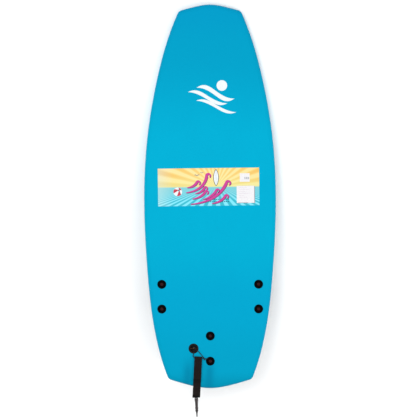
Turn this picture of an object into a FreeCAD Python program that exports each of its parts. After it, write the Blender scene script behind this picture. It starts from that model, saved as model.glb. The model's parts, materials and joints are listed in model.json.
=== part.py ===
"""Soft-top surfboard for a child, five feet long, with three bolted fins and a five-foot leash.

The board is drawn in its own frame: X to the right, Y from the tail (0) to the nose, Z up from
the lowest line of the bottom, in millimetres.  Every piece of it is then given one placement,
rest_place, which stands it on the floor as it rests with its deck up: on the tips of the two
side fins and on the belly in front.  The leash hangs from the tail and lies coiled beneath it.
"""
import FreeCAD, Part
import Sketcher
import math
import os
from FreeCAD import Placement, Rotation
from FreeCAD import Vector as V

doc = FreeCAD.newDocument("Surfboard")
sheet = doc.addObject("Spreadsheet::Sheet", "Dimensions")

DIMENSIONS = {
    # board
    "BoardLength": 1524,
    "MidHalfWidth": 262.2,
    "CornerRadius": 24,
    "DeckCrown": 10,
    "RimTopRadius": 18,
    "RimBottomRadius": 6,
    "DeckSkin": 4,
    "BottomSkin": 1.6,
    "SlickMargin": 22,
    "StringerThickness": 3,
    "StringerOffset": 118,
    # fins and their bolts, measured down from the deck
    "SideBoltX": 192.4,
    "WasherRadius": 17.8,
    "WasherDepth": 2.7,
    "WasherRise": 1.2,
    "HeadRadius": 6.4,
    "HeadDepth": 2,
    "SocketRadius": 2.6,
    "ShankRadius": 3,
    "SleeveRadius": 7,
    "SleeveBore": 3.4,
    "SleeveEnd": 24,
    "BoltEnd": 34,
    "InsertRadius": 4.6,
    "InsertBore": 3.02,
    "InsertEnd": 36,
    "PostRadius": 8,
    "FinDepth": 108,
    "FinCant": 5,
    # leash plug
    "PlugX": -66.5,
    "PlugY": 158.2,
    "PlugRadius": 20,
    "PlugRise": 1,
    "PlugFlange": 2,
    "PlugBodyRadius": 16,
    "PlugBore": 13,
    "PlugDepth": 20,
    "PlugFloor": 2.5,
    "PlugBarRadius": 2.2,
    "PlugBarDrop": 7,
    "PlugThickness": 41,    # from the deck to the backing disc, set below from the board's form
    "BackingRadius": 14,
    "BackingThickness": 3,
    "StemRadius": 6.5,
    "ScrewRadius": 2.5,
    "ScrewHeadRadius": 5,
    # swivels and horns, measured along their own axis from the top of the horn
    "PinRadius": 2,
    "PinClearance": 0.06,
    "PinHeadRadius": 3.6,
    "ChamberRadius": 3.9,
    "ChamberEnd": 10,
    "CapThickness": 3,
    "HornTopRadius": 7,
    "HornTipRadius": 4.2,
    "HornLength": 72.4,
    "CollarRadius": 6.4,
    "CollarThickness": 2.1,
    "TabLength": 7,
    # webbing
    "WebWidth": 30.5,
    "WebThickness": 2.4,
    "HookThickness": 1.95,
    "StringRadius": 1.5,
    # cord and cuff
    "CordRadius": 3,
    "CoilInner": 25,
    "CoilOuter": 43,
    "CoilBase": 1.2,
    "CoilTop": 12.8,
    "CuffRadius": 35,
    "CuffHeight": 42,
    "PadThickness": 4.5,
    "BandThickness": 2.4,
}
cells = {alias: f"B{row}" for row, alias in enumerate(DIMENSIONS, 1)}
for alias, cell in cells.items():
    sheet.set("A" + cell[1:], alias)
    sheet.set(cell, str(DIMENSIONS[alias]))
    sheet.setAlias(cell, alias)
doc.recompute()


def dim(alias):
    """The number that the spreadsheet holds under this alias."""
    return float(getattr(sheet, alias))


sub_parts = []


def feature(label, shape, placement=None):
    """A sub-part whose shape is worked out here from the spreadsheet's sizes."""
    part = doc.addObject("Part::Feature", label)
    part.Shape = shape
    part.Placement = (placement or Placement()).multiply(shape.Placement)
    sub_parts.append(part)
    return part


def turned_body(label, outline, placement=None, listed=True):
    """A turned piece: a closed profile of (radius, height) expressions, revolved about its Z axis."""
    body = doc.addObject("PartDesign::Body", label)
    plane = [item for item in body.Origin.OriginFeatures if item.Role == "XZ_Plane"][0]
    sketch = body.newObject("Sketcher::SketchObject", label + "_profile")
    sketch.AttachmentSupport = [(plane, "")]
    sketch.MapMode = "FlatFace"
    doc.recompute()
    corners = [[float(getattr(value, "Value", value)) for value in map(sketch.evalExpression, corner)]
               for corner in outline]
    count = len(corners)
    for index, corner in enumerate(corners):
        following = corners[(index + 1) % count]
        sketch.addGeometry(Part.LineSegment(V(*corner), V(*following)), False)
    for index in range(count):
        sketch.addConstraint(Sketcher.Constraint("Coincident", index, 2, (index + 1) % count, 1))
    for index, corner in enumerate(outline):
        for kind, expression, value in zip(("DistanceX", "DistanceY"), corner, corners[index]):
            name = f"{kind[-1]}{index}"
            number = sketch.addConstraint(Sketcher.Constraint(kind, -1, 1, index, 1, value))
            sketch.renameConstraint(number, name)
            sketch.setExpression("Constraints." + name, expression)
    turn = body.newObject("PartDesign::Revolution", label + "_turn")
    turn.Profile = sketch
    turn.ReferenceAxis = (sketch, ["V_Axis"])
    turn.Angle = 360
    doc.recompute()
    body.Placement = placement or Placement()
    if listed:
        sub_parts.append(body)
    return body


def sized(expression):
    """Puts the spreadsheet's name before each alias in an expression."""
    words = []
    for word in expression.split():
        sign = "-" if word.startswith("-") and word[1:] in DIMENSIONS else ""
        bare = word[1:] if sign else word
        words.append(f"{sign}Dimensions.{bare}" if bare in DIMENSIONS else word)
    return " ".join(words)


def profile(*corners):
    """Corners written as 'radius, height', each a number, an alias or a sum of them."""
    return [tuple(sized(half.strip()) for half in corner.split(",")) for corner in corners]


def group(label, master, places):
    """Identical pieces as one node: a compound of links to one master body."""
    links = []
    for index, place in enumerate(places):
        link = doc.addObject("App::Link", f"{label}_{index + 1}")
        link.LinkedObject = master
        link.Placement = place
        links.append(link)
    compound = doc.addObject("Part::Compound", label)
    compound.Links = links
    doc.recompute()
    sub_parts.append(compound)
    return compound


# ---------------------------------------------------------------------------------------------
# The board's envelope: an outline, a rocker line and a thickness line
# ---------------------------------------------------------------------------------------------
def spline(points):
    curve = Part.BSplineCurve()
    curve.interpolate(points)
    return curve


LENGTH = dim("BoardLength")
SIDE_OUTLINE = [(123, 1499), (167.4, 1386), (212, 1219), (248.5, 1003), (dim("MidHalfWidth"), 745),
                (250.7, 478), (233.5, 305), (201.5, 142), (166, 36)]
NOSE_OUTLINE = [(123, 1499), (65, 1514.2), (0, LENGTH), (-65, 1514.2), (-123, 1499)]
TAIL_OUTLINE = [(-166, 36), (-85, 12.5), (0, 0), (85, 12.5), (166, 36)]
ROCKER = spline([V(0, *point) for point in
                 [(-60, 38), (0, 30), (250, 8), (650, 0), (1000, 6), (1270, 33), (1524, 84), (1600, 103)]])
THICKNESS = spline([V(0, *point) for point in
                    [(-60, 20), (0, 27), (150, 44), (500, 61), (800, 65), (1150, 59), (1400, 41),
                     (1524, 26), (1600, 18)]])
REACH = 300         # half the width of the block that the outline is cut from
STATIONS = 9
FIRST_STATION, LAST_STATION = -60, 1600


def height_on(curve, y):
    """The height of a lengthwise line at y, found by halving."""
    low, high = curve.FirstParameter, curve.LastParameter
    for _ in range(40):
        middle = (low + high) / 2
        if curve.value(middle).y < y:
            low = middle
        else:
            high = middle
    return curve.value(low).z


def bottom_at(y):
    return height_on(ROCKER, y)


def crown_drop(x, y):
    return dim("DeckCrown") * height_on(THICKNESS, y) / 65 * (x / dim("MidHalfWidth")) ** 2


def deck_at(x, y):
    return bottom_at(y) + height_on(THICKNESS, y) - crown_drop(x, y)


def block(bottom_raise, deck_raise):
    """The rocker and the crowned deck as one block, wider and longer than the board."""
    sections = []
    for index in range(STATIONS):
        y = FIRST_STATION + (LAST_STATION - FIRST_STATION) * index / (STATIONS - 1)
        low = bottom_at(y) + bottom_raise
        middle = V(0, y, deck_at(0, y) + deck_raise)
        right = V(REACH, y, deck_at(REACH, y) + deck_raise)
        left = V(-REACH, y, right.z)
        edges = [Part.Arc(left, middle, right).toShape(),
                 Part.LineSegment(right, V(REACH, y, low)).toShape(),
                 Part.LineSegment(V(REACH, y, low), V(-REACH, y, low)).toShape(),
                 Part.LineSegment(V(-REACH, y, low), left).toShape()]
        sections.append(Part.Wire(edges))
    return Part.makeLoft(sections, True, False)


def outline_lines(inset):
    """The outline's four lines, clockwise from the nose, each moved in by inset."""
    right = [V(x, y, 0) for x, y in SIDE_OUTLINE]
    left = [V(-x, y, 0) for x, y in reversed(SIDE_OUTLINE)]
    nose = [V(x, y, 0) for x, y in reversed(NOSE_OUTLINE)]
    tail = [V(x, y, 0) for x, y in reversed(TAIL_OUTLINE)]
    lines = [nose, right, tail, left]
    inward = []
    for line in lines:
        curve = spline(line)
        tangents = [curve.tangent(curve.parameter(point))[0] for point in line]
        inward.append([V(tangent.y, -tangent.x, 0).normalize() for tangent in tangents])
    moved = [[point + normal * inset for point, normal in zip(*pair)] for pair in zip(lines, inward)]
    for index, line in enumerate(lines):
        following = (index + 1) % len(lines)
        one, other = inward[index][-1], inward[following][0]
        corner = line[-1] + (one + other) * (inset / (1 + one.dot(other)))
        moved[index][-1] = corner
        moved[following][0] = corner
    return [spline(line).toShape() for line in moved]


def outline_prism(inset):
    """The plan outline, moved in by inset and with its four corners rounded, as a tall prism."""
    prism = Part.Face(Part.Wire(outline_lines(inset))).extrude(V(0, 0, 400))
    prism.translate(V(0, 0, -100))
    corners = [edge for edge in prism.Edges if len(edge.Vertexes) == 2
               and abs(edge.Vertexes[0].Z - edge.Vertexes[1].Z) > 399]
    return prism.makeFillet(dim("CornerRadius") - inset, corners)


def envelope(inset, bottom_raise, deck_drop):
    """The board's outer form, or the same form moved in on every side, with rounded rims."""
    form = block(bottom_raise, -deck_drop).common(outline_prism(inset)).Solids[0]
    radii = {True: dim("RimTopRadius") - deck_drop, False: dim("RimBottomRadius") - bottom_raise}
    for upper, radius in radii.items():
        rim = []
        for edge in form.Edges:
            middle = edge.valueAt((edge.FirstParameter + edge.LastParameter) / 2)
            direction = edge.tangentAt((edge.FirstParameter + edge.LastParameter) / 2)
            mid_height = (bottom_at(middle.y) + deck_at(middle.x, middle.y)) / 2
            flat_below = abs(middle.z - bottom_at(middle.y) - bottom_raise) < 0.5
            at_deck = abs(middle.z - deck_at(middle.x, middle.y) + deck_drop) < 0.5
            if abs(direction.z) < 0.8 and (at_deck if upper else flat_below and middle.z < mid_height):
                rim.append(edge)
        form = form.makeFillet(radius, rim)
    return form


# ---------------------------------------------------------------------------------------------
# Places that the board's fittings share
# ---------------------------------------------------------------------------------------------
SIDE_BOLT_Y = (413.6, 315.3)
CENTRE_BOLT_Y = (208.2, 107.9)
side_bolts = [(side * dim("SideBoltX"), y) for side in (-1, 1) for y in SIDE_BOLT_Y]
bolt_points = [V(x, y, deck_at(x, y)) for x, y in side_bolts + [(0, y) for y in CENTRE_BOLT_Y]]
plug_top = V(dim("PlugX"), dim("PlugY"), deck_at(dim("PlugX"), dim("PlugY")))
BACKING_RECESS = 1.5    # how far the backing disc sits above the bottom, which slopes there
plug_thickness = plug_top.z - bottom_at(plug_top.y) - BACKING_RECESS
sheet.set(cells["PlugThickness"], str(round(plug_thickness, 3)))
doc.recompute()


def stack(point, *levels):
    """Cylinders one above another about a vertical line: (radius, from, to), heights above point."""
    pieces = [Part.makeCylinder(radius, high - low, point + V(0, 0, low)) for radius, low, high in levels]
    return pieces[0].multiFuse(pieces[1:]) if len(pieces) > 1 else pieces[0]


ABOVE, BELOW = 20, -90      # heights that clear the deck and the bottom
bolt_holes = [stack(point,
                    (dim("WasherRadius"), -dim("WasherDepth"), ABOVE),
                    (dim("SleeveRadius"), -dim("SleeveEnd"), -dim("WasherDepth")),
                    (dim("PostRadius"), BELOW, -dim("SleeveEnd")))
              for point in bolt_points]
plug_hole = stack(plug_top,
                  (dim("PlugRadius"), -dim("PlugFlange"), ABOVE),
                  (dim("PlugBodyRadius"), -dim("PlugDepth"), -dim("PlugFlange")),
                  (dim("StemRadius"), -dim("PlugThickness") + dim("BackingThickness"), -dim("PlugDepth")),
                  (dim("BackingRadius"), BELOW, -dim("PlugThickness") + dim("BackingThickness")))
holes = Part.makeCompound(bolt_holes + [plug_hole])

# ---------------------------------------------------------------------------------------------
# The board's layers
# ---------------------------------------------------------------------------------------------
outer = envelope(0, 0, 0)
inner = envelope(dim("DeckSkin"), dim("BottomSkin"), dim("DeckSkin"))
STRINGER_FROM, STRINGER_LENGTH = 60, 1400


def stringer_shape(side):
    corner = V(side * dim("StringerOffset") - dim("StringerThickness") / 2, STRINGER_FROM, BELOW)
    slab = Part.makeBox(dim("StringerThickness"), STRINGER_LENGTH, 300, corner)
    return slab.common(inner)


def one_solid(shape):
    """The single solid of a boolean's result, which must have just one."""
    if len(shape.Solids) != 1:
        raise ValueError(f"expected one solid, found {len(shape.Solids)}")
    return shape.Solids[0]


stringers = {name: one_solid(stringer_shape(side)) for name, side in (("left", -1), ("right", 1))}
slick = outer.common(outline_prism(dim("SlickMargin"))).cut(block(dim("BottomSkin"), dim("DeckCrown")))
layers = {
    "foam_core": inner.cut(list(stringers.values())).cut(holes),
    "deck_skin": outer.cut([inner, slick]).cut(holes),
    "bottom_slick": slick.cut(holes),
    "stringer_left": stringers["left"],
    "stringer_right": stringers["right"],
}

# ---------------------------------------------------------------------------------------------
# Fins: a foiled blade, a base plate against the bottom, and two posts for the bolts
# ---------------------------------------------------------------------------------------------
FIN_SECTIONS = [(0, 60, -58), (20, 52, -54), (42, 38, -51), (64, 18, -52), (84, -6, -58),
                (98, -30, -66), (108, -50, -74)]     # depth, leading edge, trailing edge
FIN_ROOT_THICKNESS, FIN_TIP_THICKNESS = 8, 2.6
FIN_PLATE = (16, 128, 3)        # width, length, thickness below the bottom
POST_FLOOR = 0.5                # below the insert


def fin_blade():
    sections = []
    depth_scale = dim("FinDepth") / FIN_SECTIONS[-1][0]
    for depth, front, back in FIN_SECTIONS:
        share = depth / FIN_SECTIONS[-1][0]
        half = (FIN_ROOT_THICKNESS + (FIN_TIP_THICKNESS - FIN_ROOT_THICKNESS) * share) / 2
        height = -depth * depth_scale
        fullest = front - 0.4 * (front - back)
        faces = [Part.Arc(V(0, front, height), V(side * half, fullest, height), V(0, back, height)).toShape()
                 for side in (1, -1)]
        sections.append(Part.Wire(Part.sortEdges(faces)[0]))
    return Part.makeLoft(sections, True, False)


def fin_shape(x, bolt_ys, cant):
    """A fin under the two bolts at x; cant leans its tip away from the centreline, in degrees."""
    middle_y = sum(bolt_ys) / 2
    slope = math.degrees(math.atan2(bottom_at(bolt_ys[0]) - bottom_at(bolt_ys[1]), bolt_ys[0] - bolt_ys[1]))
    place = Placement(V(x, middle_y, bottom_at(middle_y)), Rotation(V(1, 0, 0), slope))
    width, length, thickness = FIN_PLATE
    plate = Part.makeBox(width, length, 4 * thickness, V(-width / 2, -length / 2, -thickness))
    upright = [edge for edge in plate.Edges if abs(edge.Vertexes[0].Z - edge.Vertexes[1].Z) > thickness]
    plate = plate.makeFillet(width / 2 - 0.5, upright)
    blade = fin_blade()
    blade.rotate(V(0, 0, 0), V(0, 1, 0), cant)
    root = Part.makeCylinder(3, 90, V(0, -45, 0), V(0, 1, 0))
    hanging = plate.fuse([blade, root])
    hanging.Placement = place
    fin = hanging.cut(outer)
    for y in bolt_ys:
        point = V(x, y, deck_at(x, y))
        foot = bottom_at(y) - point.z - 1
        fin = fin.fuse(stack(point, (dim("PostRadius"), foot, -dim("SleeveEnd"))))
        fin = fin.cut(stack(point, (dim("InsertRadius"), -dim("InsertEnd") - POST_FLOOR, 0)))
    return one_solid(fin)


fins = {
    "fin_left": fin_shape(-dim("SideBoltX"), SIDE_BOLT_Y, dim("FinCant")),
    "fin_right": fin_shape(dim("SideBoltX"), SIDE_BOLT_Y, -dim("FinCant")),
    "fin_centre": fin_shape(0, CENTRE_BOLT_Y, 0),
}

# ---------------------------------------------------------------------------------------------
# How the board rests: pitched nose down until the fin tips and the belly are at one height
# ---------------------------------------------------------------------------------------------
tips = fins["fin_left"].tessellate(0.05)[0] + fins["fin_centre"].tessellate(0.05)[0]
belly = [V(0, y, bottom_at(y)) for y in range(700, int(LENGTH) - 40, 5)]


def lowest(points, pitch):
    """The least height of some points when the board is pitched nose down by this many degrees."""
    turn = math.radians(pitch)
    return min(point.z * math.cos(turn) - point.y * math.sin(turn) for point in points)


shallow, steep = 0.0, 20.0
for _ in range(40):
    pitch = (shallow + steep) / 2
    if lowest(tips, pitch) < lowest(belly, pitch):
        shallow = pitch
    else:
        steep = pitch
standing = outer.copy()
standing.rotate(V(0, 0, 0), V(1, 0, 0), -pitch)
box = standing.optimalBoundingBox(False)
rest_place = Placement(V(0, -(box.YMin + box.YMax) / 2, -lowest(tips, pitch)), Rotation(V(1, 0, 0), -pitch))
print(f"pitch {pitch:.3f} degrees, origin moved by {rest_place.Base}")

for label, shape in list(layers.items()) + list(fins.items()):
    feature(label, one_solid(shape), rest_place)


def resting(part, local=None):
    """Gives a part of the board its place: local in the board's frame, then as the board rests."""
    part.Placement = rest_place.multiply(local) if local else rest_place
    return part


# ---------------------------------------------------------------------------------------------
# Fin bolts with their washers, sleeves and threaded inserts, all drawn with the deck at height 0
# ---------------------------------------------------------------------------------------------
FITTINGS = {
    "fin_bolt_washers": profile(
        "ShankRadius + 0.1, -WasherDepth", "WasherRadius, -WasherDepth", "WasherRadius, 0.2",
        "WasherRadius - 1.5, WasherRise", "HeadRadius + 1.5, WasherRise", "HeadRadius + 0.2, 0.3",
        "HeadRadius + 0.2, -1.4", "ShankRadius + 0.1, -1.4"),
    "fin_bolts": profile(
        "0, -BoltEnd", "ShankRadius, -BoltEnd", "ShankRadius, -1.4", "HeadRadius, -1.4",
        "HeadRadius, HeadDepth - 1.9", "HeadRadius - 1.2, HeadDepth - 1.4",
        "SocketRadius, HeadDepth - 1.4", "SocketRadius, -0.9", "0, -0.9"),
    "bolt_sleeves": profile(
        "SleeveBore, -SleeveEnd", "SleeveRadius, -SleeveEnd", "SleeveRadius, -WasherDepth",
        "SleeveBore, -WasherDepth"),
    "fin_inserts": profile(
        "InsertBore, -InsertEnd", "InsertRadius, -InsertEnd", "InsertRadius, -SleeveEnd",
        "InsertBore, -SleeveEnd"),
}
for label, outline in FITTINGS.items():
    master = turned_body(label + "_master", outline, listed=False)
    resting(group(label, master, [Placement(point, Rotation()) for point in bolt_points]))

# ---------------------------------------------------------------------------------------------
# Leash plug: a cup with a cross bar, held from below by a screw through a backing disc
# ---------------------------------------------------------------------------------------------
plug_place = Placement(plug_top, Rotation())
cup = turned_body("leash_plug_turned", profile(
    "ScrewRadius, -PlugDepth", "PlugBodyRadius, -PlugDepth", "PlugBodyRadius, -PlugFlange",
    "PlugRadius, -PlugFlange", "PlugRadius, PlugRise - 0.7", "PlugRadius - 1.2, PlugRise",
    "PlugBore + 1.2, PlugRise", "PlugBore, PlugRise - 1.2", "PlugBore, PlugFloor - PlugDepth",
    "ScrewRadius, PlugFloor - PlugDepth"), plug_place, listed=False)
bar = doc.addObject("Part::Cylinder", "leash_plug_bar")
bar.setExpression("Radius", "Dimensions.PlugBarRadius")
bar.setExpression("Height", "2 * (Dimensions.PlugBodyRadius - 1)")
bar_end = plug_top + V(1 - dim("PlugBodyRadius"), 0, -dim("PlugBarDrop"))
bar_local = Placement(bar_end, Rotation(V(0, 1, 0), 90))
bar_hole = doc.addObject("Part::Cylinder", "leash_plug_bar_hole")
bar_hole.setExpression("Radius", "Dimensions.PlugBarRadius")
bar_hole.setExpression("Height", "2 * (Dimensions.PlugBodyRadius - 1)")
bar_hole.Placement = bar_local
cup_cut = doc.addObject("Part::Cut", "leash_plug_cup")
cup_cut.Base = cup
cup_cut.Tool = bar_hole
sub_parts += [resting(cup_cut), resting(bar, bar_local)]
turned_body("leash_plug_backing", profile(
    "ScrewHeadRadius, -PlugThickness", "BackingRadius, -PlugThickness",
    "BackingRadius, BackingThickness - PlugThickness", "StemRadius, BackingThickness - PlugThickness",
    "StemRadius, -PlugDepth", "ScrewRadius, -PlugDepth", "ScrewRadius, 2.2 - PlugThickness",
    "ScrewHeadRadius, 2.2 - PlugThickness"), rest_place.multiply(plug_place))
turned_body("leash_plug_screw", profile(
    "0, -PlugThickness", "ScrewHeadRadius, -PlugThickness", "ScrewHeadRadius, 2.2 - PlugThickness",
    "ScrewRadius, 2.2 - PlugThickness", "ScrewRadius, PlugFloor - PlugDepth - 1",
    "0, PlugFloor - PlugDepth - 1"), rest_place.multiply(plug_place))

# ---------------------------------------------------------------------------------------------
# Films on the deck: the printed mark, the label and its stickers
# ---------------------------------------------------------------------------------------------
FILM = 0.3
TALL = 200


def film(prism, layer):
    """The part of a thin layer over the deck that lies inside an upright prism."""
    above = block(0, FILM * (layer + 1)).common(prism)
    return above.cut(block(0, FILM * layer))


def card(x, y, width, length, turn):
    prism = Part.makeBox(width, length, TALL, V(-width / 2, -length / 2, -TALL / 2))
    prism.Placement = Placement(V(x, y, 0), Rotation(V(0, 0, 1), turn))
    return prism


def wave(left, right, height, rise, thickness):
    """A strip of water: one long swell between left and right, tapering to a point at both ends."""
    span = right - left
    crest = [(left, height), (left + 0.25 * span, height + rise + thickness / 2),
             (left + 0.5 * span, height + thickness / 2), (left + 0.75 * span, height - rise + thickness / 2),
             (right, height)]
    trough = [(x, z - thickness if 0 < index < 4 else z) for index, (x, z) in enumerate(crest)]
    edges = [spline([V(x, z, -TALL / 2) for x, z in line]).toShape() for line in (crest, trough)]
    return Part.Face(Part.Wire(Part.sortEdges(edges)[0])).extrude(V(0, 0, TALL))


MARK_PLACE = Placement(V(15, 1169, 0), Rotation(V(0, 0, 1), -16))
mark = [Part.makeCylinder(21, TALL, V(22, 42, -TALL / 2)), wave(-72, 84, 6, 11, 17),
        wave(-100, 62, -20, 9, 14), wave(-60, 106, -44, 8, 12)]
for strip in mark:
    strip.Placement = MARK_PLACE
LABEL_TURN = 0.6
films = {
    "deck_print": Part.makeCompound([film(strip, 0) for strip in mark]),
    "product_label": film(card(-5.6, 800.6, 403, 150, LABEL_TURN), 0),
    "label_sticker_small": film(card(138, 838, 39, 34, LABEL_TURN), 1),
    "label_sticker_square": film(card(141, 771, 70, 68, LABEL_TURN), 1),
}
for label, shape in films.items():
    feature(label, shape, rest_place)

# ---------------------------------------------------------------------------------------------
# Rail saver: webbing folded round the string and closed on itself, lying on the deck to the tail.
# Its frame: X along it towards the tail from the fold, Y across, Z up from its underside.
# ---------------------------------------------------------------------------------------------
def ribbon(start, heading, moves, thickness, width):
    """A flat band seen edge on in the XZ plane and width wide: moves are (length, turn in degrees)."""
    half = thickness / 2
    sides = {1: [], -1: []}
    point, angle = V(start[0], 0, start[1]), math.radians(heading)
    for length, turn in moves:
        swing = math.radians(turn)

        def reach(share, offset):
            now = angle + swing * share
            normal = V(-math.sin(now), 0, math.cos(now))
            if swing:
                radius = length / swing
                first = V(-math.sin(angle), 0, math.cos(angle))
                return point + first * radius - normal * (radius - offset)
            return point + V(math.cos(angle), 0, math.sin(angle)) * length * share + normal * offset

        for side, edges in sides.items():
            near, middle, far = [reach(share, side * half) for share in (0, 0.5, 1)]
            edge = Part.Arc(near, middle, far) if swing else Part.LineSegment(near, far)
            edges.append((edge.toShape(), near, far))
        point, angle = reach(1, 0), angle + swing
    edges = [edge for side in sides.values() for edge, _, _ in side]
    for index, end in ((0, 1), (-1, 2)):
        edges.append(Part.LineSegment(sides[1][index][end], sides[-1][index][end]).toShape())
    band = Part.Face(Part.Wire(Part.sortEdges(edges)[0])).extrude(V(0, width, 0))
    band.translate(V(0, -width / 2, 0))
    return band


WIDTH, WEB = dim("WebWidth"), dim("WebThickness")
SAVER_TOP_X, SAVER_TOP_Y, SAVER_TURN = -47.5, 126.6, 3
STRAP_GAP = 0.3
saver_local = Placement(V(SAVER_TOP_X, SAVER_TOP_Y, deck_at(SAVER_TOP_X, SAVER_TOP_Y) + STRAP_GAP),
                        Rotation(V(0, 0, 1), -90 - SAVER_TURN))
saver_place = rest_place.multiply(saver_local)
FOLD_OUTER = 4.4            # outer radius of the fold that the string passes through
FOLD_RADIUS = FOLD_OUTER - WEB / 2
TOP_LAYER = FOLD_OUTER + FOLD_RADIUS
PEEL_AT = 14                # where the top layer starts to peel from
HEM_RADIUS = 0.6            # of the bead on its upper edge there, which it turns about
FLAP_END = 90
TAB_END = 103
BEND_FROM = 104
BEND_RADIUS = 80
DROOP = 34                  # degrees that the strap's end and the horn hang below the deck's plane
HORN_FROM = 165             # top of the horn, measured along the deck
bend = math.radians(DROOP)
straight = (HORN_FROM - BEND_FROM - BEND_RADIUS * math.sin(bend)) / math.cos(bend)
tab_room = dim("TabLength") + dim("CollarThickness") + 0.1
strap_moves = [(PEEL_AT - 1.3 - FOLD_OUTER, 0), (math.pi * FOLD_RADIUS, 180), (BEND_FROM - FOLD_OUTER, 0),
               (BEND_RADIUS * bend, -DROOP), (straight - tab_room, 0)]
strap = ribbon((PEEL_AT - 1.3, TOP_LAYER), 180, strap_moves, WEB, WIDTH)
flap = ribbon((PEEL_AT, TOP_LAYER), 0, [(FLAP_END - PEEL_AT, 0)], WEB, WIDTH)
hem_middle = V(PEEL_AT, -WIDTH / 2, TOP_LAYER + WEB / 2)
flap = flap.fuse(Part.makeCylinder(HEM_RADIUS, WIDTH, hem_middle, V(0, 1, 0)))
flap_tab = ribbon((FLAP_END, TOP_LAYER), 0, [(TAB_END - FLAP_END, 0)], WEB + 0.8, WIDTH)
feature("rail_saver_strap", strap, saver_place)
feature("rail_saver_flap", one_solid(flap), saver_place)
feature("rail_saver_pull_tab", flap_tab, saver_place)
PATCH_FROM, PATCH_TO, PATCH_MARGIN = 24, 86, 2
patch_heights = {
    "rail_saver_loop_patch": WEB,
    "rail_saver_hook_patch": TOP_LAYER - WEB / 2 - dim("HookThickness")}
for label, low in patch_heights.items():
    patch = doc.addObject("Part::Box", label)
    patch.Length = PATCH_TO - PATCH_FROM
    patch.setExpression("Width", f"Dimensions.WebWidth - 2 * {PATCH_MARGIN}")
    patch.setExpression("Height", "Dimensions.HookThickness")
    patch.Placement = saver_place.multiply(Placement(V(PATCH_FROM, PATCH_MARGIN - WIDTH / 2, low), Rotation()))
    sub_parts.append(patch)

# ---------------------------------------------------------------------------------------------
# Horns and swivels: the same turned pieces at both ends, drawn along Z from the horn's top
# ---------------------------------------------------------------------------------------------
HORN = profile(
    "ChamberRadius, CapThickness", "HornTopRadius, CapThickness", "HornTopRadius, 13",
    "HornTopRadius - 1.3, 21", "HornTopRadius - 1.6, 49", "HornTopRadius - 0.6, 50.2",
    "HornTopRadius - 0.6, 53.2", "HornTopRadius - 1.8, 54.4", "HornTopRadius - 2, 61",
    "HornTopRadius - 1, 62.2", "HornTopRadius - 1, 65.2", "HornTopRadius - 2.3, 66.4",
    "HornTipRadius, HornLength", "0, HornLength", "0, ChamberEnd", "ChamberRadius, ChamberEnd")
CAP = profile(
    "PinRadius + PinClearance, 0", "HornTopRadius, 0", "HornTopRadius, CapThickness",
    "PinRadius + PinClearance, CapThickness")
PIN = profile(
    "0, -CollarThickness - 6", "PinRadius, -CollarThickness - 6", "PinRadius, CapThickness + 0.1",
    "PinHeadRadius, CapThickness + 0.1", "PinHeadRadius, CapThickness + 4", "0, CapThickness + 4")
COLLAR = profile(
    "PinRadius, -CollarThickness - 0.1", "CollarRadius, -CollarThickness - 0.1", "CollarRadius, -0.1",
    "PinRadius, -0.1")
TAB_THICKNESS = 5.6
droop_end = FOLD_OUTER - FOLD_RADIUS - BEND_RADIUS * (1 - math.cos(bend)) - straight * math.sin(bend)
HORN_SWING = 5              # degrees that the horn lies out of line with the strap
horn_turn = Rotation(V(0, 0, 1), HORN_SWING).multiply(Rotation(V(0, 1, 0), 90 + DROOP))
board_horn_place = saver_place.multiply(Placement(V(HORN_FROM, 0, droop_end), horn_turn))

# The cuff stands on the floor under the board, with its own swivel's axis through its middle.
CUFF_CENTRE = V(100, -462, 0)
AXIS_HEIGHT, AXIS_DIP = 22, 7.5
HORN_REACH = 54.2           # from the cuff's middle to the top of its horn
dip = math.radians(AXIS_DIP)
axis_out = V(-math.cos(dip), 0, -math.sin(dip))
axis_turn = Rotation(V(0, 1, 0), -90 - AXIS_DIP)
cuff_horn_place = Placement(CUFF_CENTRE + V(0, 0, AXIS_HEIGHT) + axis_out * HORN_REACH, axis_turn)
for end, place in (("board_end", board_horn_place), ("cuff_end", cuff_horn_place)):
    turned_body(end + "_horn", HORN, place)
    turned_body(end + "_horn_cap", CAP, place)
    turned_body(end + "_swivel_pin", PIN, place)
    turned_body(end + "_collar", COLLAR, place)


def swivel_block(width, thickness, depth, rounding):
    """The block that a swivel's pin is moulded into, behind its collar."""
    back = -dim("CollarThickness") - 0.1 - depth
    form = Part.makeBox(thickness, width, depth, V(-thickness / 2, -width / 2, back))
    along = [edge for edge in form.Edges if abs(edge.Vertexes[0].Z - edge.Vertexes[1].Z) > depth / 2]
    form = form.makeFillet(rounding, along)
    pin_back = -dim("CollarThickness") - 6
    return form.cut(Part.makeCylinder(dim("PinRadius"), dim("CollarThickness") + 6, V(0, 0, pin_back)))


end_tab = swivel_block(WIDTH, TAB_THICKNESS, dim("TabLength"), 2)
end_tab.Placement = board_horn_place
strap_placed = strap.copy()
strap_placed.Placement = saver_place.multiply(strap.Placement)
feature("rail_saver_end_tab", one_solid(end_tab.cut(strap_placed)))

# ---------------------------------------------------------------------------------------------
# Ankle cuff: a padded band, closed by a strap whose end peels off its loop patch
# ---------------------------------------------------------------------------------------------
cuff_place = Placement(CUFF_CENTRE, Rotation())
turned_body("cuff_padding", profile(
    "CuffRadius, 0", "CuffRadius + PadThickness, 0", "CuffRadius + PadThickness, CuffHeight",
    "CuffRadius, CuffHeight"), cuff_place)
turned_body("cuff_band", profile(
    "CuffRadius + PadThickness, 2", "CuffRadius + PadThickness + BandThickness, 2",
    "CuffRadius + PadThickness + BandThickness, CuffHeight - 2",
    "CuffRadius + PadThickness, CuffHeight - 2"), cuff_place)
BAND_OUTER = dim("CuffRadius") + dim("PadThickness") + dim("BandThickness")
LOOP, HOOK, STRAP = 1, 0.95, 2.4        # thickness of the loop patch, hook patch and strap
STRAP_LOW = (dim("CuffHeight") - WIDTH) / 2


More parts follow.
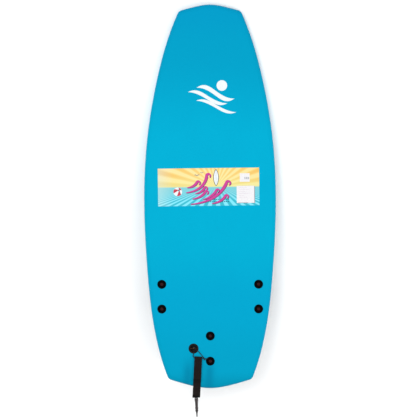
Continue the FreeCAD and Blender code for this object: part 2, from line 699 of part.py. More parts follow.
def wrapped(inner, outer_radius, first, last, margin=0):
    """A band round the cuff between two radii, from the first angle clockwise to the last."""
    middle = (inner + outer_radius) / 2
    start = math.radians(first)
    arc = ribbon((middle * math.cos(start), middle * math.sin(start)), first - 90,
                 [(middle * math.radians(first - last), last - first)], outer_radius - inner,
                 WIDTH - 2 * margin)
    arc.rotate(V(0, 0, 0), V(1, 0, 0), -90)
    arc.translate(V(0, 0, STRAP_LOW + WIDTH / 2))
    return arc


CUFF_PEEL_AT = -41          # degrees round the cuff, where the strap starts to peel from
strap_inner = BAND_OUTER + LOOP + HOOK + 0.05
cuff_pieces = {
    "cuff_loop_patch": wrapped(BAND_OUTER, BAND_OUTER + LOOP, 120, -100, 1),
    "cuff_strap": wrapped(BAND_OUTER + LOOP, strap_inner + STRAP, 120, CUFF_PEEL_AT + 2),
    "cuff_strap_end": wrapped(strap_inner, strap_inner + STRAP, CUFF_PEEL_AT, -96),
    "cuff_hook_patch": wrapped(strap_inner - HOOK, strap_inner, CUFF_PEEL_AT - 6, -96, 1),
    "cuff_pull_tab": wrapped(strap_inner - 0.4, strap_inner + STRAP + 0.4, -96, -108),
}
peel_middle = strap_inner + STRAP / 2
peel_turn = math.radians(CUFF_PEEL_AT)
cuff_hem = Part.makeCylinder(STRAP / 2, WIDTH, V(
    peel_middle * math.cos(peel_turn), peel_middle * math.sin(peel_turn), STRAP_LOW))
cuff_pieces["cuff_strap_end"] = cuff_pieces["cuff_strap_end"].fuse(cuff_hem)
for label, shape in cuff_pieces.items():
    feature(label, one_solid(shape), cuff_place)
ring = Part.makeCylinder(BAND_OUTER, 200, CUFF_CENTRE + V(0, 0, -50))
block_form = swivel_block(18, 20, 12, 3)
block_form.Placement = cuff_horn_place
feature("cuff_swivel_block", one_solid(block_form.cut(ring)))


# ---------------------------------------------------------------------------------------------
# Free cords: straight runs joined by tangent arcs
# ---------------------------------------------------------------------------------------------
ARC_SHARE = 0.45            # of the shorter run beside a point, taken up by the point's arc


def cord_tube(name, route, radius):
    """A round tube along a route; prints its length, its tightest arc and how its volume compares."""
    points = [V(*point) for point in route]
    edges = []
    radii = []
    here = points[0]
    for before, corner, after in zip(points, points[1:], points[2:]):
        back, ahead = (before - corner).normalize(), (after - corner).normalize()
        cut = ARC_SHARE * min(before.distanceToPoint(corner), corner.distanceToPoint(after))
        half_turn = (math.pi - back.getAngle(ahead)) / 2
        arc_radius = cut / math.tan(half_turn)
        inward = (back + ahead).normalize()
        middle = corner + inward * (arc_radius / math.cos(half_turn) - arc_radius)
        edges.append(Part.LineSegment(here, corner + back * cut).toShape())
        edges.append(Part.Arc(corner + back * cut, middle, corner + ahead * cut).toShape())
        here = corner + ahead * cut
        radii.append(arc_radius)
    edges.append(Part.LineSegment(here, points[-1]).toShape())
    path = Part.Wire(edges)
    ring = Part.Wire(Part.makeCircle(radius, points[0], points[1] - points[0]))
    tube = path.makePipeShell([ring], True, True)
    share = tube.Volume / (math.pi * radius ** 2 * path.Length)
    print(f"{name}: length {path.Length:.0f} mm, tightest arc {min(radii):.1f} mm, volume share {share:.4f}")
    print("  arc radii: " + " ".join(f"{value:.0f}" for value in radii))
    return tube


# The leash cord, in the standing frame: off the horn, down to the floor and forward to the coil.
CORD_ROUTE = [
    (-54.04, -861.43, 153.64), (-53.7, -871.3, 148.85), (-53.6, -879.1, 140.4), (-53.7, -884, 128.4),
    (-53.9, -884.2, 108.4), (-54.3, -880.5, 80), (-54.8, -871.5, 52.5), (-55.8, -854.5, 30),
    (-57.3, -831, 13.6), (-58.6, -801, 4.6), (-58.4, -768, 3.3), (-56, -730, 3.2), (-56.6, -690, 3.2),
    (-62, -651, 3.2), (-67, -614, 3.4), (-68, -584, 4.2)]
CUFF_CORD_ROUTE = [
    (-71.2, -560, 9.6), (-71, -545.5, 8.4), (-70.5, -527, 5), (-70.9, -508, 3.4), (-70.3, -490.5, 3.2),
    (-65.2, -474.5, 3.2), (-54.2, -465, 3.4), (-40.5, -462.4, 4.2), (-25.5, -462, 5.5)]
COIL_CENTRE = V(-108, -573, 0)
feature("leash_cord", cord_tube("leash_cord", CORD_ROUTE, dim("CordRadius")))
feature("leash_cord_to_cuff", cord_tube("leash_cord_to_cuff", CUFF_CORD_ROUTE, dim("CordRadius")))
turned_body("leash_coil", profile(
    "CoilInner, CoilBase + 2", "CoilInner + 2, CoilBase", "CoilOuter - 2, CoilBase",
    "CoilOuter, CoilBase + 2", "CoilOuter, CoilTop - 2", "CoilOuter - 2, CoilTop",
    "CoilInner + 2, CoilTop", "CoilInner, CoilTop - 2"), Placement(COIL_CENTRE, Rotation()))
TIE_ANGLE, TIE_WIDTH, TIE_THICKNESS = 135, 12, 1.1
inner_room, outer_room = dim("CoilInner") - 0.8, dim("CoilOuter") + 0.1
room_base, room_top = dim("CoilBase") - 0.05, dim("CoilTop") + 0.05
tie_place = Placement(COIL_CENTRE, Rotation(V(0, 0, 1), TIE_ANGLE))


def tie_box(grow):
    """A box round the coil's section where the tie is, larger by grow on each side."""
    return Part.makeBox(outer_room - inner_room + 2 * grow, TIE_WIDTH, room_top - room_base + 2 * grow,
                        V(inner_room - grow, -TIE_WIDTH / 2, room_base - grow))


feature("coil_tie", tie_box(TIE_THICKNESS).cut(tie_box(0)), tie_place)

# The string, in the board's frame: from its knot over the rim of the plug, round the cross bar,
# back over the rim, through the rail saver's fold and into the knot again.
STRING_ROUTE = [
    (-24.9, 120.4, 62), (-28.3, 124.6, 61), (-32.9, 130.5, 60.8), (-38.6, 136.9, 61),
    (-44, 143.2, 61.6), (-49.4, 148.4, 62.2), (-54.6, 151.4, 62.1), (-57.6, 152.6, 60.3),
    (-59.4, 154.9, 57.1), (-60.5, 158.1, 55.8), (-61.1, 161.4, 54.7), (-61.6, 162.8, 51.6),
    (-62.1, 161.9, 48.4), (-62.7, 159, 46.9), (-63.3, 155.6, 47.6), (-63.9, 153.6, 50.4),
    (-64.5, 152.2, 54.4), (-65, 149, 58.7), (-65.2, 144.7, 61.6), (-65.6, 139.6, 62.1), (-66.7, 135, 61.1),
    (-68.1, 130.8, 60.9), (-68.1, 127, 61.2), (-66.5, 123.9, 62), (-63.3, 123, 62.8),
    (-58, 122.8, 63.1), (-50, 122.5, 62.9), (-40, 121.9, 63.1), (-32.5, 121.3, 63), (-27.2, 118.4, 62.8)]
KNOT_TAIL = [(-20.6, 115.4, 62.4), (-17.3, 116.6, 61.7), (-13.2, 118.2, 61.5), (-8.2, 118, 61.9)]
KNOT_LOBES = [((-24.2, 117.2, 62.5), 3.7), ((-21.2, 115.4, 62.3), 3.3)]
knot = cord_tube("knot tail", KNOT_TAIL, dim("StringRadius"))
knot = knot.fuse([Part.makeSphere(radius, V(*centre)) for centre, radius in KNOT_LOBES])
string = cord_tube("leash_string", STRING_ROUTE, dim("StringRadius")).cut(knot)
feature("leash_string_knot", one_solid(knot), rest_place)
feature("leash_string", one_solid(string), rest_place)

doc.recompute()
for item in doc.Objects:
    if "Invalid" in item.State or "Error" in item.State:
        raise RuntimeError(f"{item.Label} failed: {item.State}")
os.makedirs("parts", exist_ok=True)
for part in sub_parts:
    shape = part.Shape
    if shape.isNull() or not shape.isValid() or not shape.Solids:
        raise RuntimeError(f"{part.Label} has no valid shape")
    shape.exportStep(f"parts/{part.Label}.step")
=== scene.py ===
"""Looks of the soft-top surfboard and its leash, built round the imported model, in metres."""
import json
import math

import bmesh
import bpy
import numpy as np
from mathutils import Matrix, Vector, noise
from mathutils.bvhtree import BVHTree


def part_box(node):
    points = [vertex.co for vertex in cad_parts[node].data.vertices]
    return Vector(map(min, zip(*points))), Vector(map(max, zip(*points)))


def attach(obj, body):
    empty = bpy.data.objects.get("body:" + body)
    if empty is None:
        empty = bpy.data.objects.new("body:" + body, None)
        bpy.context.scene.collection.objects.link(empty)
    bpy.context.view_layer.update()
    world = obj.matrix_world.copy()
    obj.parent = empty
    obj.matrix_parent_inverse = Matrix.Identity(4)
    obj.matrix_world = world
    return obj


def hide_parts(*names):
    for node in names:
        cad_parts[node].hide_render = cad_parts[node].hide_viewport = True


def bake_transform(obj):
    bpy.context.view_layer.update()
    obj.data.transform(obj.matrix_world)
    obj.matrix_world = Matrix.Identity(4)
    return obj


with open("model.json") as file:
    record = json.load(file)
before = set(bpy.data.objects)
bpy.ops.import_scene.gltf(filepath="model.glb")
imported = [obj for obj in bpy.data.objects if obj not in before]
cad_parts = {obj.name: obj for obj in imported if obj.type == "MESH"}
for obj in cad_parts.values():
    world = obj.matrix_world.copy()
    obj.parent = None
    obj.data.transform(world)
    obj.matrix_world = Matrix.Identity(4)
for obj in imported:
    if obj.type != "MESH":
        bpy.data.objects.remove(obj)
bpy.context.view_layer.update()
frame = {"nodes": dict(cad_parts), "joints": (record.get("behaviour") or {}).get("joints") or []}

NODES = frame["nodes"]
TAU = 2 * math.pi

# The board's own frame: X to the right, Y from the tail to the nose, Z up from the bottom.
PITCH = math.radians(8.05205195)
REST = Matrix.Translation((0, -0.7634082806, 0.1453655147)) @ Matrix.Rotation(-PITCH, 4, "X")
BOARD_X, BOARD_Y, BOARD_Z = (REST.to_3x3().col[i].copy() for i in range(3))

# ----- Camera: square on to the deck, the nose at the top of the picture
CAMERA_AIM = REST @ Vector((-0.0002, 0.709, 0.04))
CAMERA_RANGE = 16.0
CAMERA_ROLL = Matrix.Rotation(math.radians(-0.1), 4, "Z")
camera = bpy.data.objects.new("camera", bpy.data.cameras.new("camera"))
camera.data.sensor_width = 36
camera.data.lens = 344.5
camera.matrix_world = Matrix.Translation(CAMERA_AIM + BOARD_Z * CAMERA_RANGE) @ Matrix((
    BOARD_X, BOARD_Y, BOARD_Z)).transposed().to_4x4() @ CAMERA_ROLL
bpy.context.scene.collection.objects.link(camera)
bpy.context.scene.camera = camera


# ----- Procedural materials
STUDIO_GAIN = 1.24          # how much brighter than its own colour a surface looks in this light


def linear(red, green, blue):
    """A colour as it should look on screen, 0 to 255, as the linear colour that nodes take."""
    parts = []
    for value in (red, green, blue):
        share = value / 255
        share = share / 12.92 if share <= 0.04045 else ((share + 0.055) / 1.055) ** 2.4
        parts.append(share / STUDIO_GAIN)
    return (*parts, 1)


class Paint:
    """A material built from nodes by short calls, each of which adds one node."""

    def __init__(self, name):
        self.material = bpy.data.materials.new(name)
        self.material.use_nodes = True
        self.tree = self.material.node_tree
        self.shader = self.tree.nodes["Principled BSDF"]
        where = self.tree.nodes.new("ShaderNodeTexCoord")
        self.place = where.outputs["Object"]
        self.flat = where.outputs["UV"]

    def put(self, socket, value):
        if isinstance(value, bpy.types.NodeSocket):
            self.tree.links.new(value, socket)
        elif value is not None:
            socket.default_value = value

    def add(self, kind, inputs, output, **settings):
        node = self.tree.nodes.new(kind)
        for name, value in settings.items():
            setattr(node, name, value)
        for key, value in inputs.items():
            self.put(node.inputs[key], value)
        return node.outputs[output]

    def math(self, operation, first, second=None, third=None):
        return self.add("ShaderNodeMath", {0: first, 1: second, 2: third}, 0, operation=operation)

    def noise(self, scale, detail=3.0, place=None, roughness=0.55):
        return self.add("ShaderNodeTexNoise", {
            "Vector": place or self.place, "Scale": scale, "Detail": detail,
            "Roughness": roughness}, 0)

    def cells(self, scale, place=None):
        return self.add("ShaderNodeTexVoronoi", {"Vector": place or self.place, "Scale": scale},
                        "Distance")

    def stretched(self, x, y, z):
        return self.add("ShaderNodeVectorMath", {0: self.place, 1: (x, y, z)}, 0,
                        operation="MULTIPLY")

    def along(self, axis, origin=(0, 0, 0)):
        """Distance along an axis from an origin, in metres."""
        offset = self.add("ShaderNodeVectorMath", {0: self.place, 1: tuple(origin)}, 0,
                          operation="SUBTRACT")
        return self.add("ShaderNodeVectorMath", {0: offset, 1: tuple(axis)}, "Value",
                        operation="DOT_PRODUCT")

    def split(self, place):
        node = self.tree.nodes.new("ShaderNodeSeparateXYZ")
        self.put(node.inputs[0], place)
        return node.outputs

    def ramp(self, factor, *stops):
        node = self.tree.nodes.new("ShaderNodeValToRGB")
        self.put(node.inputs[0], factor)
        node.color_ramp.interpolation = "EASE"
        while len(node.color_ramp.elements) < len(stops):
            node.color_ramp.elements.new(1)
        for element, (position, colour) in zip(node.color_ramp.elements, stops):
            element.position = position
            element.color = colour
        return node.outputs[0]

    def span(self, value, low, high, to_low=0.0, to_high=1.0):
        return self.add("ShaderNodeMapRange", {
            "Value": value, "From Min": low, "From Max": high, "To Min": to_low,
            "To Max": to_high}, 0)

    def mix(self, factor, first, second):
        return self.add("ShaderNodeMix", {0: factor, 6: first, 7: second}, 2, data_type="RGBA")

    def bump(self, height, distance, under=None):
        return self.add("ShaderNodeBump", {
            "Height": height, "Distance": distance, "Strength": 1.0, "Normal": under}, 0)

    def done(self, colour, roughness, normal=None, **more):
        values = {"Base Color": colour, "Roughness": roughness, "Normal": normal,
                  "Specular_IOR_Level": 0.15, **more}
        for name, value in values.items():
            self.put(self.shader.inputs[name.replace("_", " ")], value)
        return self.material


# A place on the strap's middle line, and the direction across it, for the painted shadow on the foam
# either side of the strap
STRAP_SHADOW_FROM = REST @ Vector((-0.0475, 0.1266, 0.06))
STRAP_SHADOW_ACROSS = BOARD_X * math.cos(math.radians(3)) - BOARD_Y * math.sin(math.radians(3))


def foam_deck():
    """Closed-cell foam: fine pebbling, faint ripples, painted shade darker towards the nose and tail,
    and painted shadow either side of the strap.
    """
    paint = Paint("foam_deck")
    length = paint.along(BOARD_Y, REST.translation)
    # Painted shade: the ramp along the board darkens the deck towards the tail and the nose, so it is
    # palest in the middle
    tone = paint.ramp(
        paint.span(length, 0, 1.524), (0.0, linear(0, 146, 180)), (0.05, linear(0, 162, 200)),
        (0.22, linear(0, 167, 208)), (0.4, linear(0, 177, 214)), (0.64, linear(0, 177, 215)),
        (0.88, linear(0, 162, 202)), (1.0, linear(0, 157, 202)))
    mottle = paint.noise(9, 5)
    tone = paint.mix(paint.span(mottle, 0.35, 0.75, 0, 0.16), tone, linear(2, 160, 202))
    # Painted shadow of the strap: soft dark bands about 43 mm either side of its middle line, only
    # within 13 cm of the tail
    strap_shadow_line = paint.math("ABSOLUTE", paint.math(
        "SUBTRACT", paint.along(STRAP_SHADOW_ACROSS, STRAP_SHADOW_FROM), 0.004))
    strap_shadow_side = paint.math("POWER", 2.718, paint.math("MULTIPLY", -1.0, paint.math(
        "POWER", paint.math("DIVIDE", paint.math("SUBTRACT", strap_shadow_line, 0.043), 0.019), 2.0)))
    strap_shadow_along = paint.span(length, 0.13, 0.07)
    strap_shadow = paint.math("MULTIPLY", paint.math("MULTIPLY", strap_shadow_side, strap_shadow_along), 0.5)
    tone = paint.mix(strap_shadow, tone, linear(0, 116, 152))
    grains = paint.cells(1500)
    tone = paint.mix(paint.span(grains, 0, 0.75, 0.1, 0), tone, linear(0, 118, 160))
    pebble = paint.bump(grains, 0.00022)
    ripple = paint.bump(paint.noise(60, 3), 0.0006, pebble)
    rough = paint.span(paint.noise(220, 4), 0.3, 0.7, 0.52, 0.68)
    return paint.done(tone, rough, ripple, Specular_IOR_Level=0.02)


def slick():
    """Glossy polyethylene skin with long fine scratches and faint waviness."""
    paint = Paint("slick")
    scratch = paint.noise(90, 8, paint.stretched(9, 0.6, 9), 0.8)
    wave = paint.bump(paint.noise(14, 2), 0.0009)
    normal = paint.bump(scratch, 0.00008, wave)
    colour = paint.mix(paint.span(scratch, 0.5, 0.75, 0, 0.25), linear(238, 241, 243),
                       linear(206, 214, 219))
    return paint.done(colour, paint.span(scratch, 0.3, 0.8, 0.16, 0.42), normal,
                      Specular_IOR_Level=0.5)


def beaded_foam():
    paint = Paint("beaded_foam")
    beads = paint.cells(260)
    colour = paint.mix(paint.span(beads, 0.1, 0.75), linear(250, 250, 247), linear(214, 216, 214))
    return paint.done(colour, 0.78, paint.bump(paint.math("MULTIPLY", beads, -1.0), 0.0016))


def wood():
    paint = Paint("ply")
    grain = paint.noise(70, 6, paint.stretched(4, 0.35, 5), 0.7)
    plies = paint.math("SINE", paint.math("MULTIPLY", paint.along((1, 0, 0)), 6200))
    colour = paint.ramp(grain, (0.25, linear(151, 108, 64)), (0.5, linear(196, 153, 101)),
                        (0.75, linear(219, 184, 134)))
    colour = paint.mix(paint.span(plies, 0.2, 1, 0, 0.35), colour, linear(120, 84, 50))
    return paint.done(colour, 0.62, paint.bump(grain, 0.0004))


def moulded(name, dark, light, roughness, grain_scale=1400, grain_depth=0.00006, **more):
    """Moulded plastic or rubber: spark-eroded grain, faint flow marks and a little dust."""
    paint = Paint(name)
    flow = paint.noise(38, 4)
    grain = paint.noise(grain_scale, 3)
    colour = paint.mix(paint.span(flow, 0.35, 0.7), dark, light)
    dust = paint.span(paint.noise(420, 6), 0.62, 0.8, 0, 0.22)
    colour = paint.mix(dust, colour, linear(58, 60, 61))
    normal = paint.bump(grain, grain_depth, paint.bump(flow, 0.0003))
    return paint.done(colour, paint.span(grain, 0.3, 0.7, roughness - 0.07, roughness + 0.09),
                      normal, **more)


def metal(name, colour, shade, roughness, stretch=(1, 1, 14)):
    """Machined metal: fine turning lines and patches of duller finish."""
    paint = Paint(name)
    lines = paint.noise(900, 5, paint.stretched(*stretch))
    patch = paint.noise(130, 4)
    tone = paint.mix(paint.span(patch, 0.35, 0.7), colour, shade)
    return paint.done(tone, paint.span(lines, 0.3, 0.7, roughness - 0.08, roughness + 0.14),
                      paint.bump(lines, 0.00004), Metallic=1.0)


def bolt_metal():
    """Black-oxide bolts whose sockets show a dark red thread lock."""
    paint = Paint("bolt_metal")
    wear = paint.noise(700, 5)
    tone = paint.mix(paint.span(wear, 0.45, 0.7), linear(30, 5, 8), linear(76, 14, 16))
    return paint.done(tone, paint.span(wear, 0.3, 0.7, 0.32, 0.55), paint.bump(wear, 0.0001),
                      Metallic=0.35)


def woven(name, warp, weft, pitch=0.0014, depth=0.00016, sheen=0.02):
    """Webbing: a weave laid out in the piece's own flat coordinates, in metres."""
    paint = Paint(name)
    across, down, _ = paint.split(paint.flat)
    turn = TAU / pitch
    rows = paint.math("SINE", paint.math("MULTIPLY", down, turn))
    lines = paint.math("SINE", paint.math("MULTIPLY", across, turn))
    crossing = paint.math("MULTIPLY", rows, lines)
    fuzz = paint.noise(2600, 4)
    height = paint.math("MULTIPLY_ADD", fuzz, 0.6, crossing)
    tone = paint.mix(paint.span(crossing, -0.8, 0.8), warp, weft)
    faded = paint.span(paint.noise(55, 4), 0.45, 0.75, 0, 0.3)
    tone = paint.mix(faded, tone, weft)
    return paint.done(tone, 0.82, paint.bump(height, depth), Sheen_Weight=sheen,
                      Sheen_Roughness=0.5, Specular_IOR_Level=0.06)


def fuzzy(name, dark, light, scale, depth):
    """Hook or loop tape: a dense pile, standing in rows."""
    paint = Paint(name)
    pile = paint.cells(scale, paint.flat)
    fibres = paint.noise(3200, 5)
    colour = paint.mix(paint.span(pile, 0.05, 0.6), light, dark)
    height = paint.math("MULTIPLY_ADD", pile, -1.4, fibres)
    return paint.done(colour, 0.9, paint.bump(height, depth), Sheen_Weight=0.08)


def neoprene():
    paint = Paint("neoprene")
    across, down, _ = paint.split(paint.flat)
    knit = paint.math("SINE", paint.math("MULTIPLY", down, TAU / 0.0011))
    wales = paint.math("SINE", paint.math("MULTIPLY", across, TAU / 0.0009))
    loops = paint.math("MULTIPLY", knit, wales)
    soft = paint.noise(95, 4)
    colour = paint.mix(paint.span(soft, 0.3, 0.75), linear(24, 26, 28), linear(46, 49, 52))
    colour = paint.mix(paint.span(loops, 0.2, 1, 0, 0.3), colour, linear(66, 69, 72))
    normal = paint.bump(loops, 0.00008, paint.bump(soft, 0.0007))
    return paint.done(colour, 0.86, normal, Sheen_Weight=0.1, Sheen_Roughness=0.4)


def tube_plastic():
    """Smoky urethane tube, glossy, with faint haze along it."""
    paint = Paint("tube_plastic")
    haze = paint.noise(160, 5)
    colour = paint.mix(paint.span(haze, 0.3, 0.75), linear(22, 24, 26), linear(36, 39, 41))
    return paint.done(colour, paint.span(haze, 0.3, 0.7, 0.2, 0.38), paint.bump(haze, 0.0001),
                      Specular_IOR_Level=0.5, Coat_Weight=0.3, Coat_Roughness=0.15)


def braid():
    paint = Paint("braid")
    fibres = paint.noise(2400, 5)
    colour = paint.mix(paint.span(fibres, 0.3, 0.75), linear(10, 14, 22), linear(46, 52, 60))
    return paint.done(colour, 0.8, paint.bump(fibres, 0.0001), Sheen_Weight=0.04)


def printed(name, colour, shade, roughness=0.45):
    """Screen print or vinyl: almost even, with a fine orange-peel surface."""
    paint = Paint(name)
    patch = paint.noise(240, 5)
    tone = paint.mix(paint.span(patch, 0.35, 0.75, 0, 0.8), colour, shade)
    return paint.done(tone, paint.span(patch, 0.3, 0.7, roughness - 0.08, roughness + 0.08),
                      paint.bump(patch, 0.00006))


LABEL_TURN = math.radians(0.6)          # the label was put on slightly askew
LABEL_X = BOARD_X * math.cos(LABEL_TURN) + BOARD_Y * math.sin(LABEL_TURN)
LABEL_Y = BOARD_Y * math.cos(LABEL_TURN) - BOARD_X * math.sin(LABEL_TURN)
LABEL_MIDDLE = REST @ Vector((-0.0056, 0.8006, 0.0653))
SUN = LABEL_MIDDLE + LABEL_X * 0.029


def label_film():
    """Sun rays over a horizon, and below it a floor of rays that run to the same point."""
    paint = Paint("label_film")
    across = paint.along(LABEL_X, SUN)
    height = paint.along(LABEL_Y, SUN)
    angle = paint.math("ARCTAN2", height, across)
    distance = paint.math("SQRT", paint.math("ADD", paint.math("MULTIPLY", across, across),
                                             paint.math("MULTIPLY", height, height)))
    beams = paint.math("SINE", paint.math("MULTIPLY", angle, 30))
    sky = paint.ramp(paint.span(beams, -1, 1), (0.1, linear(243, 196, 100)),
                     (0.45, linear(250, 214, 126)), (0.8, linear(255, 228, 158)))
    glow = paint.span(distance, 0.02, 0.21, 0.35, 0)
    sky = paint.mix(glow, sky, linear(252, 240, 170))
    low_sky = paint.span(height, 0, 0.05, 0.55, 0)
    sky = paint.mix(low_sky, sky, linear(228, 236, 156))
    slope = paint.math("DIVIDE", across, paint.math("SUBTRACT", 0.012, height))
    lanes = paint.math("SINE", paint.math("MULTIPLY", slope, 16))
    depth = paint.span(height, -0.006, -0.072)
    sea = paint.mix(paint.span(lanes, -0.4, 0.4), linear(52, 186, 206), linear(132, 232, 250))
    sea = paint.mix(paint.span(depth, 0, 0.75, 0.85, 0), sea, linear(132, 208, 216))
    tone = paint.mix(paint.span(height, -0.002, 0.002), sea, sky)
    edge = paint.span(across, -0.17, -0.23, 0, 0.4)
    tone = paint.mix(edge, tone, linear(205, 232, 228))
    patch = paint.noise(260, 4)
    return paint.done(tone, paint.span(patch, 0.3, 0.7, 0.3, 0.42), paint.bump(patch, 0.00005))


# Prints: colour, shade and, where it isn't the usual one, roughness
PRINTS = {
    "thread": ((50, 45, 44), (27, 24, 24), 0.7),
    "print_white": ((246, 250, 252), (222, 236, 242)),
    "paper": ((246, 244, 246), (226, 226, 232), 0.6),
    "pink": ((214, 66, 158), (186, 60, 140)),
    "plum": ((112, 70, 104), (86, 58, 92)),
    "ink": ((66, 64, 62), (96, 90, 80)),
    "teal": ((20, 128, 146), (24, 104, 122)),
    "navy": ((30, 84, 150), (24, 52, 98)),
    "red": ((206, 62, 84), (180, 50, 70)),
    "grey": ((150, 158, 166), (126, 136, 148)),
    "paper_line": ((226, 210, 222), (210, 206, 216)),
}
MATERIALS = {name: printed(name, linear(*colour), linear(*shade), *roughness)
             for name, (colour, shade, *roughness) in PRINTS.items()}
MATERIALS.update({
    "foam_deck": foam_deck(),
    "slick": slick(),
    "beaded_foam": beaded_foam(),
    "ply": wood(),
    "fin": moulded("fin", linear(26, 28, 31), linear(40, 43, 46), 0.4),
    "black": moulded("black", linear(2, 2, 3), linear(8, 8, 8), 0.5),
    "washer": moulded("washer", linear(0, 0, 0), linear(4, 3, 4), 0.6, Specular_IOR_Level=0.03),
    "horn": moulded("horn", linear(52, 48, 49), linear(84, 78, 78), 0.55),
    "steel": metal("steel", linear(198, 199, 200), linear(160, 161, 163), 0.3),
    "dull_steel": metal("dull_steel", linear(92, 66, 46), linear(48, 36, 28), 0.5, (14, 1, 1)),
    "brass": metal("brass", linear(196, 160, 88), linear(160, 120, 60), 0.34),
    "bolt": bolt_metal(),
    "webbing": woven("webbing", linear(20, 13, 14), linear(38, 31, 30)),
    "webbing_edge": woven("webbing_edge", linear(11, 9, 9), linear(26, 23, 22), 0.001),
    "pile": fuzzy("pile", linear(8, 9, 10), linear(42, 44, 46), 900, 0.0005),
    "hooks": fuzzy("hooks", linear(6, 7, 8), linear(34, 36, 38), 620, 0.0007),
    "neoprene": neoprene(),
    "tube": tube_plastic(),
    "braid": braid(),
    "label": label_film(),
})
# What the kept CAD nodes are made of
NODE_MATERIALS = {
    "beaded_foam": "foam_core",
    "foam_deck": "deck_skin",
    "slick": "bottom_slick",
    "ply": "stringer_left stringer_right",
    "fin": "fin_left fin_right fin_centre",
    "washer": "fin_bolt_washers",
    "bolt": "fin_bolts",
    "brass": "fin_inserts",
    "black": "bolt_sleeves leash_plug_cup leash_plug_backing rail_saver_end_tab"
             " cuff_swivel_block",
    "dull_steel": "leash_plug_bar",
    "steel": "leash_plug_screw board_end_swivel_pin board_end_collar cuff_end_swivel_pin"
             " cuff_end_collar",
    "print_white": "deck_print",
    "label": "product_label",
    "paper": "label_sticker_small label_sticker_square",
    "horn": "board_end_horn board_end_horn_cap cuff_end_horn cuff_end_horn_cap",
}
for name, nodes in NODE_MATERIALS.items():
    for node in nodes.split():
        for spot in NODES[node].material_slots:
            spot.material = MATERIALS[name]


# ----- Building blocks
def piece(name, verts, faces, material, body, flat=None):
    """A mesh piece in the standing frame, smooth, with its normals outward; flat gives each
    corner's place on the unrolled piece, in metres."""
    mesh = bpy.data.meshes.new(name)
    mesh.from_pydata([tuple(v) for v in verts], [], faces)
    if flat is not None:
        layer = mesh.uv_layers.new(name="flat")
        for loop in mesh.loops:
            layer.data[loop.index].uv = flat[loop.vertex_index]
    work = bmesh.new()
    work.from_mesh(mesh)
    bmesh.ops.recalc_face_normals(work, faces=work.faces)
    work.to_mesh(mesh)
    work.free()
    mesh.polygons.foreach_set("use_smooth", [True] * len(mesh.polygons))
    mesh.materials.append(MATERIALS[material])
    made = bpy.data.objects.new(name, mesh)
    bpy.context.scene.collection.objects.link(made)
    if body:
        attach(made, body)
    return made


def skin(rows, cols, wrap_rows=False, wrap_cols=True):
    """Quads over a grid of rows by cols points, closed round either way."""
    faces = []
    for row in range(rows if wrap_rows else rows - 1):
        for col in range(cols if wrap_cols else cols - 1):
            after, right = (row + 1) % rows, (col + 1) % cols
            faces.append((row * cols + col, row * cols + right,
                          after * cols + right, after * cols + col))
    return faces


def capped(rows, cols):
    """A closed tube's faces, its two ends filled."""
    return skin(rows, cols) + [tuple(range(cols - 1, -1, -1)),
                               tuple(range((rows - 1) * cols, rows * cols))]


def moves_path(start, heading, moves, step):
    """Points and normals of a line made of straights and arcs, in a plane; moves are (length,
    turn in degrees)."""
    found = []
    point, angle = Vector(start), math.radians(heading)
    for length, turn in moves:
        swing = math.radians(turn)
        count = max(2, math.ceil(length / step))
        for index in range(count + 1):
            share = index / count
            now = angle + swing * share
            normal = Vector((-math.sin(now), math.cos(now)))
            if swing:
                radius = length / swing
                first = Vector((-math.sin(angle), math.cos(angle)))
                spot = point + first * radius - normal * radius
            else:
                spot = point + Vector((math.cos(angle), math.sin(angle))) * length * share
            if index or not found:
                found.append((spot, normal))
        point, angle = found[-1][0], angle + swing
    return found


def web_section(width, thickness, ribs, rib_height):
    """Edge-on outline of webbing: rounded selvedges, and ribs along both faces."""
    half, thick = width / 2, thickness / 2
    around = []
    edge = thick * 0.9
    count = ribs * 4
    for side in (1, -1):
        for index in range(count + 1):
            across = side * (half - edge) * (1 - 2 * index / count)
            rib = rib_height * math.cos(TAU * ribs * index / count)
            around.append((across, side * (thick - rib_height + rib)))
        for index in range(1, 5):
            turn = math.pi * index / 5
            around.append((-side * (half - edge) - side * edge * math.sin(turn),
                           side * (thick - 2 * rib_height) * math.cos(turn)))
    return around


def distances(points):
    """How far along a line each of its points is."""
    found = [0.0]
    for one, other in zip(points, points[1:]):
        found.append(found[-1] + (other - one).length)
    return found


def webbing(name, path, across, width, thickness, material, body, ribs=9,
            rib_height=0.00012, pick=0.0021, pick_height=0.00009):
    """Webbing along a path of (point, normal): ribs run along it and picks cross it."""
    section = web_section(width, thickness, ribs, rib_height)
    verts, flat = [], []
    along, last = distances([point for point, _ in path]), len(path) - 1
    for index, (travelled, (point, normal)) in enumerate(zip(along, path)):
        wave = pick_height * math.cos(TAU * travelled / pick)
        inset = min(index, last - index)
        ease = (0.55, 0.85, 1.0)[min(inset, 2)]
        for spot, (side, height) in enumerate(section):
            phase = wave if (spot // 2) % 2 else -wave
            swell = math.copysign(phase, height) if abs(side) < width / 2 - thickness / 2 else 0
            verts.append(point + across * side + normal * (height * ease + swell))
            flat.append((side, travelled))
    return piece(name, verts, capped(len(path), len(section)), material, body, flat)


